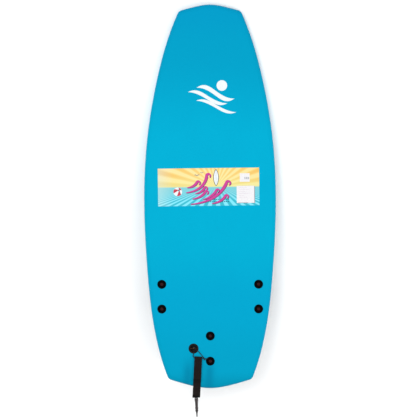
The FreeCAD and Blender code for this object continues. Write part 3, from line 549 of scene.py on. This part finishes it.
def stitches(name, lines, body, length=0.0026, gap=0.0009, radius=0.00028):
    """Rows of stitches: each line is (points, normal at each), one small rounded thread each."""
    verts, faces = [], []
    profile = ((0.0, 0.35), (0.25, 0.9), (0.5, 1.0), (0.75, 0.9), (1.0, 0.35))
    for points, normals in lines:
        marks = distances(points)

        def at(distance, marks=marks, points=points, normals=normals):
            index = max(i for i in range(len(marks)) if marks[i] <= distance + 1e-12)
            index = min(index, len(points) - 2)
            share = (distance - marks[index]) / max(1e-9, marks[index + 1] - marks[index])
            return (points[index].lerp(points[index + 1], share),
                    normals[index].lerp(normals[index + 1], share).normalized())

        begin = 0.0
        while begin + length <= marks[-1]:
            base = len(verts)
            for share, size in profile:
                middle, normal = at(begin + share * length)
                ahead = (at(min(marks[-1], begin + length))[0] - at(begin)[0]).normalized()
                side = ahead.cross(normal)
                sink = 0.6 * radius * (abs(2 * share - 1) ** 3)
                for corner in range(6):
                    turn = TAU * corner / 6
                    verts.append(middle - normal * sink + side * (math.cos(turn) * radius * size)
                                 + normal * (math.sin(turn) * radius * size))
            faces += [tuple(base + i for i in face) for face in capped(len(profile), 6)]
            begin += length + gap
    return piece(name, verts, faces, "thread", body)


def nurbs(name, points):
    """A curve object of one open quadratic NURBS spline."""
    curve = bpy.data.curves.new(name, "CURVE")
    curve.dimensions = "3D"
    curve.resolution_u = 10
    spline = curve.splines.new("NURBS")
    spline.points.add(len(points) - 1)
    for item, point in zip(spline.points, points):
        item.co = (*point, 1)
    spline.order_u = 3
    spline.use_endpoint_u = True
    made = bpy.data.objects.new(name, curve)
    bpy.context.scene.collection.objects.link(made)
    return made


def line_of(curve):
    """The points of a curve with no bevel, as Blender draws it."""
    mesh = bpy.data.meshes.new_from_object(curve)
    return [v.co.copy() for v in mesh.vertices]


def frames_along(points):
    """A side and an up direction at each point of a line, turning as little as they can."""
    aheads = []
    for index in range(len(points)):
        before, after = points[max(0, index - 1)], points[min(len(points) - 1, index + 1)]
        aheads.append((after - before).normalized())
    up = aheads[0].orthogonal().normalized()
    found = []
    for ahead in aheads:
        up = (up - ahead * up.dot(ahead)).normalized()
        found.append((ahead.cross(up), up))
    return found


def rope(name, points, radius, around, relief, body, strands=4, lay=0.006):
    """A braided cord as a tube whose surface rises and falls where its strands cross."""
    verts = []
    for travelled, point, (side, up) in zip(distances(points), points, frames_along(points)):
        for corner in range(around):
            turn = TAU * corner / around
            one = math.sin(strands * turn + TAU * travelled / lay)
            two = math.sin(strands * turn - TAU * travelled / lay)
            reach = radius - relief * (0.5 - 0.5 * max(one, two))
            verts.append(point + side * (math.cos(turn) * reach) + up * (math.sin(turn) * reach))
    return piece(name, verts, capped(len(points), around), "braid", body)


# ----- Free cords
CORD_RADIUS = 0.003
CORD_ROUTE = [
    (-0.05413, -0.8587, 0.15495), (-0.0537, -0.8713, 0.14885), (-0.0536, -0.8791, 0.1404),
    (-0.0537, -0.884, 0.1284), (-0.0539, -0.8842, 0.1084), (-0.0543, -0.8805, 0.08),
    (-0.0548, -0.8715, 0.0525), (-0.0558, -0.8545, 0.03), (-0.0573, -0.831, 0.0136),
    (-0.0586, -0.801, 0.0046), (-0.0584, -0.768, 0.0033), (-0.056, -0.73, 0.0032),
    (-0.0566, -0.69, 0.0032), (-0.062, -0.651, 0.0032), (-0.067, -0.614, 0.0034),
    (-0.068, -0.584, 0.0042)]
CUFF_CORD_ROUTE = [
    (-0.071, -0.5455, 0.0084), (-0.0705, -0.527, 0.005), (-0.0709, -0.508, 0.0034),
    (-0.0703, -0.4905, 0.0032), (-0.0652, -0.4745, 0.0032), (-0.0542, -0.465, 0.0034),
    (-0.0405, -0.4624, 0.0042), (-0.0255, -0.462, 0.0055)]
COIL_MIDDLE = Vector((-0.108, -0.573, 0))
TURN_POINTS = 16            # of the spline, on each turn of the coil
POINT_REACH = 1.0194        # how far out a point lies for the spline to run at the wanted radius
LOW_TURNS = 2.6             # turns on the floor, winding inward
CLIMB_END = 3.0             # turns by which it has climbed onto them
ALL_TURNS = 5.0
LOW_HEIGHT, HIGH_HEIGHT = 0.0042, 0.0103


def coil_points():
    """Inward round the floor, up, and outward again on top of the first turns."""
    points = []
    for index in range(int(ALL_TURNS * TURN_POINTS) + 1):
        turns = index / TURN_POINTS
        if turns <= LOW_TURNS:
            radius, height = 0.04 - 0.006 * turns, LOW_HEIGHT
        elif turns <= CLIMB_END:
            share = (turns - LOW_TURNS) / (CLIMB_END - LOW_TURNS)
            ease = share * share * (3 - 2 * share)
            radius, height = 0.0244, LOW_HEIGHT + (HIGH_HEIGHT - LOW_HEIGHT) * ease
        else:
            radius, height = 0.0245 + 0.006 * (turns - CLIMB_END), HIGH_HEIGHT
        angle = TAU * turns
        flat = Vector((math.cos(angle), math.sin(angle), 0)) * radius * POINT_REACH
        points.append(COIL_MIDDLE + flat + Vector((0, 0, height)))
    return points


cord = nurbs("leash_line", CORD_ROUTE + [tuple(point) for point in coil_points()]
             + CUFF_CORD_ROUTE)
cord.data.bevel_depth = CORD_RADIUS
cord.data.bevel_resolution = 5
cord.data.use_fill_caps = True
cord.data.materials.append(MATERIALS["tube"])
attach(cord, "board")
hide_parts("leash_cord", "leash_coil", "leash_cord_to_cuff")

# The string's route, in the board's frame
STRING_ROUTE = [
    (-0.0249, 0.1204, 0.062), (-0.0283, 0.1246, 0.061), (-0.0329, 0.1305, 0.0608),
    (-0.0386, 0.1369, 0.061), (-0.044, 0.1432, 0.0616), (-0.0494, 0.1484, 0.0622),
    (-0.0546, 0.1514, 0.0621), (-0.0576, 0.1526, 0.0603), (-0.0594, 0.1549, 0.0571),
    (-0.0605, 0.1581, 0.0558), (-0.0611, 0.1614, 0.0547), (-0.0616, 0.1628, 0.0516),
    (-0.0621, 0.1619, 0.0484), (-0.0627, 0.159, 0.0469), (-0.0633, 0.1556, 0.0476),
    (-0.0639, 0.1536, 0.0504), (-0.0645, 0.1522, 0.0544), (-0.065, 0.149, 0.0587),
    (-0.0652, 0.1447, 0.0616), (-0.0656, 0.1396, 0.0621), (-0.0667, 0.135, 0.0611),
    (-0.0681, 0.1308, 0.0609), (-0.0681, 0.127, 0.0612), (-0.0665, 0.1239, 0.062),
    (-0.0633, 0.123, 0.0628), (-0.058, 0.1228, 0.0631), (-0.05, 0.1225, 0.0629),
    (-0.04, 0.1219, 0.0631), (-0.0325, 0.1213, 0.063), (-0.0272, 0.1184, 0.0628)]
STRING_RADIUS = 0.0015


def routed(name, points):
    """The line that a spline through the board's frame draws, with the spline cleared away."""
    curve = nurbs(name, [REST @ Vector(point) for point in points])
    line = line_of(curve)
    bpy.data.objects.remove(curve)
    return line


string_line = routed("string_line", STRING_ROUTE)
string = rope("plug_string", string_line, STRING_RADIUS, 24, 0.0003, "board")
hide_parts("leash_string")
KNOT_MIDDLE = Vector((-0.0227, 0.1163, 0.0624))
knot_points = []
for index in range(36):
    turn = TAU * index / 36
    knot_points.append(KNOT_MIDDLE + Vector((
        0.0021 * (math.sin(turn) + 1.15 * math.sin(2 * turn)),
        0.0016 * (math.cos(turn) - 1.15 * math.cos(2 * turn)), -0.0013 * math.sin(3 * turn))))
TAIL_ROUTE = [knot_points[-2], knot_points[-1], Vector((-0.0206, 0.1154, 0.0624)),
              Vector((-0.0173, 0.1166, 0.0617)), Vector((-0.0132, 0.1182, 0.0615)),
              Vector((-0.0082, 0.118, 0.0619))]
knot = rope("plug_string_knot", routed("knot_line", knot_points[:-2] + TAIL_ROUTE), 0.00145, 20,
            0.0003, "board")
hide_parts("leash_string_knot")

# ----- Rail saver: webbing doubled round the string, lying down the deck and over the tail
peel = next(item for item in frame["joints"] if item["name"] == "rail_saver_peel")
SAVER_Z = BOARD_Z
SAVER_Y = -Vector(peel["axis"]).normalized()
SAVER_X = SAVER_Y.cross(SAVER_Z)
WEB_WIDTH, WEB_THICKNESS = 0.0305, 0.0024
FOLD_OUTER = 0.0044         # outer radius of the fold round the string
FOLD_RADIUS = FOLD_OUTER - WEB_THICKNESS / 2
TOP_LAYER = FOLD_OUTER + FOLD_RADIUS
STITCH_ROW = 0.0122         # rows of stitches, either side of the webbing's middle
PEEL_AT = 0.014
SEAM_AT = 0.010             # where the moving layer takes over from the fixed one
FLAP_END, TAB_END = 0.090, 0.103
BEND_FROM, BEND_RADIUS, DROOP = 0.104, 0.080, 34
STRAP_REACH = 0.165         # level distance to where the strap's line leaves the swivel's block
BLOCK_LENGTH = 0.0093       # of that line, inside the block
SAVER_START = (Vector(peel["pos_m"]) - SAVER_X * PEEL_AT
                - SAVER_Z * (TOP_LAYER + WEB_THICKNESS / 2))


def in_saver(along, height):
    return SAVER_START + SAVER_X * along + SAVER_Z * height


def saver_path(start, heading, moves, step=0.0007):
    """A path in the rail saver's own upright plane, as points and normals."""
    return [(in_saver(*spot), SAVER_X * normal[0] + SAVER_Z * normal[1])
            for spot, normal in moves_path(start, heading, moves, step)]


def edge_lines(path, offsets, across, lift, first=0.0, last=1.0):
    """Lines over the outside of a band, at these distances either side of its middle."""
    chosen = path[int(first * (len(path) - 1)):int(last * (len(path) - 1)) + 1]
    return [([point + across * offset + normal * lift for point, normal in chosen],
             [normal for _, normal in chosen]) for offset in offsets]


def cross_line(path, share, across, half, lift):
    """One line straight across a band."""
    point, normal = path[int(share * (len(path) - 1))]
    ends = [point + across * offset + normal * lift for offset in np.linspace(-half, half, 8)]
    return ends, [normal] * len(ends)


bend = math.radians(DROOP)
fold_moves = [(SEAM_AT - FOLD_OUTER, 0), (math.pi * FOLD_RADIUS, 180)]
run_moves = [(BEND_FROM - FOLD_OUTER, 0), (BEND_RADIUS * bend, -DROOP),
             ((STRAP_REACH - BEND_FROM - BEND_RADIUS * math.sin(bend)) / math.cos(bend)
              - BLOCK_LENGTH, 0)]
strap_path = saver_path((SEAM_AT, TOP_LAYER), 180, fold_moves + run_moves)
strap = webbing("rail_saver_webbing", strap_path, SAVER_Y, WEB_WIDTH, WEB_THICKNESS - 0.0001,
                "webbing", "board")
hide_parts("rail_saver_strap")
flap_path = saver_path((SEAM_AT, TOP_LAYER), 0, [(FLAP_END - SEAM_AT, 0)])
flap = webbing("rail_saver_flap_webbing", flap_path, SAVER_Y, WEB_WIDTH, WEB_THICKNESS - 0.0001,
               "webbing", None)
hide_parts("rail_saver_flap")
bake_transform(flap)
tab_path = saver_path((FLAP_END - 0.001, TOP_LAYER), 0, [(TAB_END - FLAP_END + 0.001, 0)])
tab = webbing("rail_saver_tab_webbing", tab_path, SAVER_Y, WEB_WIDTH + 0.0004, 0.0031,
              "webbing_edge", "rail_saver_flap", ribs=15)
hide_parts("rail_saver_pull_tab")
PATCH_FROM, PATCH_TO = 0.024, 0.086
for name, node, body, low, material in (
        ("rail_saver_loop_tape", "rail_saver_loop_patch", "board", 0.00238, "pile"),
        ("rail_saver_hook_tape", "rail_saver_hook_patch", "rail_saver_flap", 0.00432, "hooks")):
    patch_path = saver_path((PATCH_FROM, low + 0.00098), 0, [(PATCH_TO - PATCH_FROM, 0)])
    tape = webbing(name, patch_path, SAVER_Y, WEB_WIDTH - 0.004, 0.00194, material, body,
                   ribs=12, rib_height=0.0001, pick=0.0016)
    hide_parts(node)
half_top = WEB_THICKNESS / 2
flap_rows = edge_lines(flap_path, (-STITCH_ROW, STITCH_ROW), SAVER_Y, half_top, 0.2, 0.97)
flap_rows += [cross_line(flap_path, share, SAVER_Y, STITCH_ROW, half_top)
              for share in (0.17, 0.195, 0.94, 0.965)]
stitches("rail_saver_flap_stitching", flap_rows, "rail_saver_flap")
tab_rows = [cross_line(tab_path, share, SAVER_Y, 0.0125, 0.00155) for share in (0.2, 0.8)]
stitches("rail_saver_tab_stitching", tab_rows, "rail_saver_flap")
last_run = saver_path((BEND_FROM, half_top), 0, [(BEND_RADIUS * bend, -DROOP), run_moves[2]])
strap_rows = edge_lines(last_run, (-STITCH_ROW, STITCH_ROW), SAVER_Y, half_top, 0.35, 0.97)
strap_rows += [cross_line(last_run, share, SAVER_Y, STITCH_ROW, half_top)
               for share in (0.33, 0.66, 0.69, 0.95)]
stitches("rail_saver_end_stitching", strap_rows, "board")

# ----- Ankle cuff
pad_low, pad_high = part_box("cuff_padding")
CUFF_MIDDLE = (pad_low + pad_high) / 2
CUFF_MIDDLE.z = 0
CUFF_HEIGHT = pad_high.z
UPRIGHT = Vector((0, 0, 1))
PAD_INNER, PAD_OUTER = 0.035, 0.0395
BAND_OUTER = 0.0419


def round_cuff(radius, first, last, step=0.0008):
    """A path round the cuff, clockwise from the first angle to the last, normals outward."""
    count = max(3, int(abs(math.radians(first - last)) * radius / step))
    found = []
    for index in range(count + 1):
        angle = math.radians(first + (last - first) * index / count)
        out = Vector((math.cos(angle), math.sin(angle), 0))
        found.append((CUFF_MIDDLE + out * radius + UPRIGHT * CUFF_HEIGHT / 2, out))
    return found


def swell(form, cap, frames=20):
    """Inflates a closed fabric form a little by cloth simulation; no point moves past cap."""
    start = [v.co.copy() for v in form.data.vertices]
    modifier = form.modifiers.new("cloth", "CLOTH")
    settings = modifier.settings
    settings.use_pressure = True
    settings.uniform_pressure_force = 4
    settings.quality = 6
    settings.tension_stiffness = settings.compression_stiffness = 12
    settings.effector_weights.gravity = 0
    scene = bpy.context.scene
    for number in range(1, frames + 1):
        scene.frame_set(number)
    final = form.evaluated_get(bpy.context.evaluated_depsgraph_get()).to_mesh()
    ended = [v.co.copy() for v in final.vertices]
    form.modifiers.remove(modifier)
    scene.frame_set(1)
    for vertex, old, new in zip(form.data.vertices, start, ended):
        move = new - old
        if move.length > cap:
            move *= cap / move.length
        vertex.co = old + move


# Neoprene padding: a rounded ring, quilted by two rows of stitching inside
ring_verts, ring_flat = [], []
AROUND, SECTION = 150, 44
for step in range(AROUND):
    angle = TAU * step / AROUND
    out = Vector((math.cos(angle), math.sin(angle), 0))
    for spot in range(SECTION):
        turn = TAU * spot / SECTION
        across, up = math.cos(turn), math.sin(turn)
        across = math.copysign(abs(across) ** 0.45, across)
        up = math.copysign(abs(up) ** 0.3, up)
        height = CUFF_HEIGHT / 2 + (CUFF_HEIGHT / 2 - 0.0003) * up
        radius = (PAD_INNER + PAD_OUTER) / 2 + (PAD_OUTER - PAD_INNER - 0.0006) / 2 * across
        if across < -0.4:
            quilt = max(math.exp(-((height - row) / 0.0011) ** 2) for row in (0.007, 0.035))
            radius += 0.0007 * quilt
            radius += 0.00035 * noise.noise(Vector((angle * 5, height * 90, 2.0)))
        ring_verts.append(CUFF_MIDDLE + out * radius + UPRIGHT * height)
        ring_flat.append((radius * angle, height))
padding = piece("ankle_padding", ring_verts, skin(AROUND, SECTION, wrap_rows=True), "neoprene",
                "cuff", ring_flat)
swell(padding, 0.0007)
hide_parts("cuff_padding")

band_path = round_cuff((PAD_OUTER + BAND_OUTER) / 2, 180, -180)
band = webbing("ankle_band_webbing", band_path, UPRIGHT, CUFF_HEIGHT - 0.004, 0.0023, "neoprene",
               "cuff", ribs=8, rib_height=0.00018, pick=0.003)
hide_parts("cuff_band")
band_outside = (BAND_OUTER - PAD_OUTER) / 2
stitches("ankle_band_stitching",
         edge_lines(band_path, (-0.0168, 0.0168), UPRIGHT, band_outside), "cuff")
STRAP_INNER = BAND_OUTER + 0.002
STRAP_RADIUS = STRAP_INNER + WEB_THICKNESS / 2
PEEL_ANGLE = -41
strap_round = round_cuff(STRAP_RADIUS - 0.0005, 120, PEEL_ANGLE + 4)
ankle_strap = webbing("ankle_strap_webbing", strap_round, UPRIGHT, WEB_WIDTH, 0.0033, "webbing",
                      "cuff")
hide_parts("cuff_strap")
end_round = round_cuff(STRAP_RADIUS, PEEL_ANGLE + 4, -96)
ankle_end = webbing("ankle_strap_end_webbing", end_round, UPRIGHT, WEB_WIDTH, WEB_THICKNESS,
                    "webbing", None)
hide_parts("cuff_strap_end")
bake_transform(ankle_end)
tab_round = round_cuff(STRAP_RADIUS, -95.5, -108)
ankle_tab = webbing("ankle_tab_webbing", tab_round, UPRIGHT, WEB_WIDTH, 0.0031, "webbing_edge",
                    "cuff_strap_end", ribs=15)
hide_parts("cuff_pull_tab")
loop_round = round_cuff(BAND_OUTER + 0.0005, 120, -100)
loop_tape = webbing("ankle_loop_tape", loop_round, UPRIGHT, WEB_WIDTH - 0.002, 0.00098, "pile",
                    "cuff", ribs=12, rib_height=0.00008, pick=0.0016)
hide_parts("cuff_loop_patch")
hook_round = round_cuff(STRAP_INNER - 0.00048, PEEL_ANGLE - 6, -96)
hook_tape = webbing("ankle_hook_tape", hook_round, UPRIGHT, WEB_WIDTH - 0.002, 0.0009, "hooks",
                    "cuff_strap_end", ribs=12, rib_height=0.00008, pick=0.0016)
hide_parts("cuff_hook_patch")
strap_rows = edge_lines(strap_round, (-STITCH_ROW, STITCH_ROW), UPRIGHT, 0.0016, 0.02, 0.9)
strap_rows += [cross_line(strap_round, share, UPRIGHT, STITCH_ROW, 0.0016)
               for share in (0.02, 0.045)]
stitches("ankle_strap_stitching", strap_rows, "cuff")
end_rows = edge_lines(end_round, (-STITCH_ROW, STITCH_ROW), UPRIGHT, half_top, 0.22, 0.96)
end_rows.append(cross_line(end_round, 0.93, UPRIGHT, STITCH_ROW, half_top))
stitches("ankle_end_stitching", end_rows, "cuff_strap_end")

# Tie round the coil's turns: a strip of fastener tape, wrapped once and lapped on itself
TIE_ANGLE = math.radians(135)
tie_out = Vector((math.cos(TIE_ANGLE), math.sin(TIE_ANGLE), 0))
tie_side = UPRIGHT.cross(tie_out)
TIE_LOW, TIE_HIGH = 0.0007, 0.0141
TIE_IN, TIE_OUT = 0.0212, 0.0425
tie_radius = 0.0035
tie_path = []
for across, height, first in ((TIE_OUT, TIE_LOW, -90), (TIE_OUT, TIE_HIGH, 0),
                              (TIE_IN, TIE_HIGH, 90), (TIE_IN, TIE_LOW, 180)):
    inward = Vector((-math.copysign(1, across - 0.03), -math.copysign(1, height - 0.007)))
    for index in range(9):
        angle = math.radians(first + 90 * index / 8)
        normal = tie_out * math.cos(angle) + UPRIGHT * math.sin(angle)
        centre = tie_out * (across + inward.x * tie_radius) + UPRIGHT * (
            height + inward.y * tie_radius)
        tie_path.append((COIL_MIDDLE + centre + normal * tie_radius, normal))
tie_path.append(tie_path[0])
tie = webbing("coil_tie_tape", tie_path, tie_side, 0.012, 0.0011, "pile", "board",
              ribs=6, rib_height=0.00006)
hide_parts("coil_tie")

# ----- Artwork of the label and its stickers: simple shapes laid on the film below them
def surface_tree(*names):
    verts, faces = [], []
    for name in names:
        mesh = NODES[name].data
        base = len(verts)
        verts += [v.co.copy() for v in mesh.vertices]
        faces += [tuple(base + i for i in polygon.vertices) for polygon in mesh.polygons]
    return BVHTree.FromPolygons(verts, faces)


label_tree = surface_tree("deck_skin", "product_label", "label_sticker_small",
                          "label_sticker_square")


def laid(across, up, lift):
    """The point on the topmost film at a place on the label, in metres from its middle."""
    above = LABEL_MIDDLE + LABEL_X * across + LABEL_Y * up + BOARD_Z * 0.1
    hit = label_tree.ray_cast(above, -BOARD_Z)[0]
    return hit + BOARD_Z * lift


class Artwork:
    """Thin printed shapes, each a strip between two edges, gathered by colour."""

    def __init__(self):
        self.verts, self.faces = {}, {}

    def strip(self, colour, one, other, level=1):
        """A shape between two lines of places on the label, millimetres from its middle."""
        verts = self.verts.setdefault(colour, [])
        faces = self.faces.setdefault(colour, [])
        base, count = len(verts), len(one)
        lift = 0.00006 * level
        for near, far in zip(one, other):
            for share, height in ((0, 0), (0, lift), (0.5, lift), (1, lift), (1, 0), (0.5, 0)):
                across = (near[0] + (far[0] - near[0]) * share) / 1000
                up = (near[1] + (far[1] - near[1]) * share) / 1000
                verts.append(laid(across, up, height))
        faces += [tuple(base + i for i in face) for face in capped(count, 6)]

    def disc(self, colour, middle, radius, low=-1.0, high=1.0, level=1, steps=18):
        """A disc, or the part of one between two heights given as shares of its radius."""
        left, right = [], []
        for index in range(steps + 1):
            share = low + (high - low) * index / steps
            half = radius * math.sqrt(max(0.0004, 1 - share * share))
            left.append((middle[0] - half, middle[1] + share * radius))
            right.append((middle[0] + half, middle[1] + share * radius))
        self.strip(colour, left, right, level)

    def leaf(self, colour, foot, tip, width, bow=0.0, level=1, steps=14):
        """A pointed stroke from foot to tip, bowed to one side."""
        foot, tip = Vector(foot), Vector(tip)
        ahead = (tip - foot).normalized()
        side = Vector((-ahead.y, ahead.x))
        left, right = [], []
        for index in range(steps + 1):
            share = index / steps
            middle = foot.lerp(tip, share) + side * bow * math.sin(math.pi * share)
            half = 0.5 * width * (math.sin(math.pi * (0.03 + 0.94 * share)) ** 0.7)
            left.append(tuple(middle + side * half))
            right.append(tuple(middle - side * half))
        self.strip(colour, left, right, level)

    def bar(self, colour, left, low, right, high, level=1, steps=6):
        rows = [low + (high - low) * index / steps for index in range(steps + 1)]
        self.strip(colour, [(left, row) for row in rows], [(right, row) for row in rows], level)

    def build(self):
        for colour, verts in self.verts.items():
            made = piece("label_art_" + colour, verts, self.faces[colour], colour, "board")
            made.data.polygons.foreach_set("use_smooth", [False] * len(made.data.polygons))


art = Artwork()


def breaker(foot, length, low, high, thick):
    """A brush stroke like a breaking wave: it swells as it rises to the right, steepening from
    one angle to the other in degrees, then rolls over and down at its crest."""
    for colour, level, shift in (("plum", 1, Vector((2, -2))), ("pink", 2, Vector((0, 0)))):
        place = Vector(foot) + shift
        left, right = [], []
        for index in range(39):
            stem = min(index / 24, 1)
            roll = max(index - 24, 0)
            turn = math.radians(low + (high - low) * stem ** 1.4 - 17 * roll)
            half = thick * (0.12 + 0.38 * math.sin(math.pi / 2 * stem)) * (1 - 0.045 * roll)
            ahead = Vector((math.cos(turn), math.sin(turn)))
            side = Vector((-ahead.y, ahead.x)) * half
            left.append(tuple(place + side))
            right.append(tuple(place - side))
            place = place + ahead * (length / 24 if roll == 0 else 0.2 * thick)
        art.strip(colour, left, right, level)


# Two sets of breaking waves, one above the other, rising to the right
for foot, length, low, high, thick in (
        ((-90, -22), 112, 8, 84, 11), ((-86, -2), 46, 6, 62, 10), ((-54, -26), 44, 10, 64, 9),
        ((-72, -68), 170, 6, 66, 11.5), ((-66, -47), 60, 8, 58, 9.5),
        ((-24, -50), 66, 16, 60, 9.5), ((12, -66), 62, 8, 60, 9.5)):
    breaker(foot, length, low, high, thick)
# A white board standing on its tail, with a dark rim
art.leaf("ink", (30, 5), (30, 69), 22.5, 0, 1, 22)
art.leaf("print_white", (30, 8), (30, 66), 18, 0, 2, 22)
art.bar("grey", 29.6, 12, 30.4, 60, 3)
# Two gulls in the sky: a pair of bowed wings each, one wing laid over the other where they meet
for body, reach in (((-46, 44), 11), ((-26, 55), 7)):
    for way in (-1, 1):
        wing_tip = (body[0] + way * reach, body[1] + 0.35 * reach)
        art.leaf("navy", body, wing_tip, 0.24 * reach, way * 0.22 * reach, 1 if way < 0 else 2)
# A striped beach ball: three red panels on white, which run from its cap to its edge
BALL, BALL_RADIUS = Vector((-123, -18)), 17.4
BALL_CAP, CAP_RADIUS = BALL + Vector((5, 6)), 3.2
art.disc("print_white", BALL, BALL_RADIUS, level=1)
for first in (20, 140, 260):
    rays = [Vector((math.cos(math.radians(first + 6 * step)), math.sin(math.radians(first + 6 * step))))
            for step in range(11)]
    art.strip("red", [tuple(BALL_CAP + ray * CAP_RADIUS) for ray in rays],
              [tuple(BALL + ray * BALL_RADIUS * 0.98) for ray in rays], 2)
art.disc("teal", BALL_CAP, CAP_RADIUS, level=3)
# Two rows of dashes on the water
DASH, DASH_PITCH, ROW_PITCH = 5.4, 7.8, 9
for row, (first, count) in enumerate(((-18, 13), (-26, 14))):
    for index in range(count):
        left = first + index * DASH_PITCH
        art.bar("teal", left, -51.5 - row * ROW_PITCH, left + DASH, -48 - row * ROW_PITCH, 1, 2)
# Stickers: short lines on the small one, faint lines on the square one, and a painted shadow along the
# square one's right and bottom edges
for index, wide in enumerate((1.6, 0.9, 1.9, 0.9, 1.4, 2.0)):
    art.bar("grey", 143 + index * 3.1, 29, 143 + index * 3.1 + wide, 38, 1, 2)
for index in range(7):
    art.bar("paper_line", 120, 2 - index * 7.5, 168 - (index * 17) % 29, 3.2 - index * 7.5, 1, 2)
# Painted shadow: grey strips along the square sticker's right and bottom edges
art.bar("grey", 181.4, -64, 184.2, 1, 1)
art.bar("grey", 117, -66.4, 184.2, -63.6, 1)
art.build()

# ----- Floor and light
floor_mesh = bpy.data.meshes.new("floor")
FLOOR_REACH = 14
floor_mesh.from_pydata([(-FLOOR_REACH, -FLOOR_REACH, 0), (FLOOR_REACH, -FLOOR_REACH, 0),
                        (FLOOR_REACH, FLOOR_REACH, 0), (-FLOOR_REACH, FLOOR_REACH, 0)],
                       [], [(0, 1, 2, 3)])
pale = Paint("studio_floor")
floor_mesh.materials.append(pale.done((0.97, 0.97, 0.97, 1), 0.9))
floor = bpy.data.objects.new("floor", floor_mesh)
bpy.context.scene.collection.objects.link(floor)

world = bpy.data.worlds.new("studio")
world.use_nodes = True
world.node_tree.nodes["Background"].inputs["Color"].default_value = (1, 1, 1, 1)
world.node_tree.nodes["Background"].inputs["Strength"].default_value = 0.8
bpy.context.scene.world = world


def soft_light(name, place, size, power):
    """A large area light that faces the board's middle."""
    light = bpy.data.lights.new(name, "AREA")
    light.shape = "SQUARE"
    light.size = size
    light.energy = power
    lamp = bpy.data.objects.new(name, light)
    lamp.location = place
    lamp.visible_camera = False
    lamp.rotation_mode = "QUATERNION"
    lamp.rotation_quaternion = (Vector(place) - CAMERA_AIM).to_track_quat("Z", "Y")
    bpy.context.scene.collection.objects.link(lamp)


soft_light("key", (-1.6, 1.4, 5.2), 3.2, 130)
soft_light("fill", (2.6, -1.8, 3.8), 3.0, 60)
bpy.context.scene.view_settings.view_transform = "Standard"
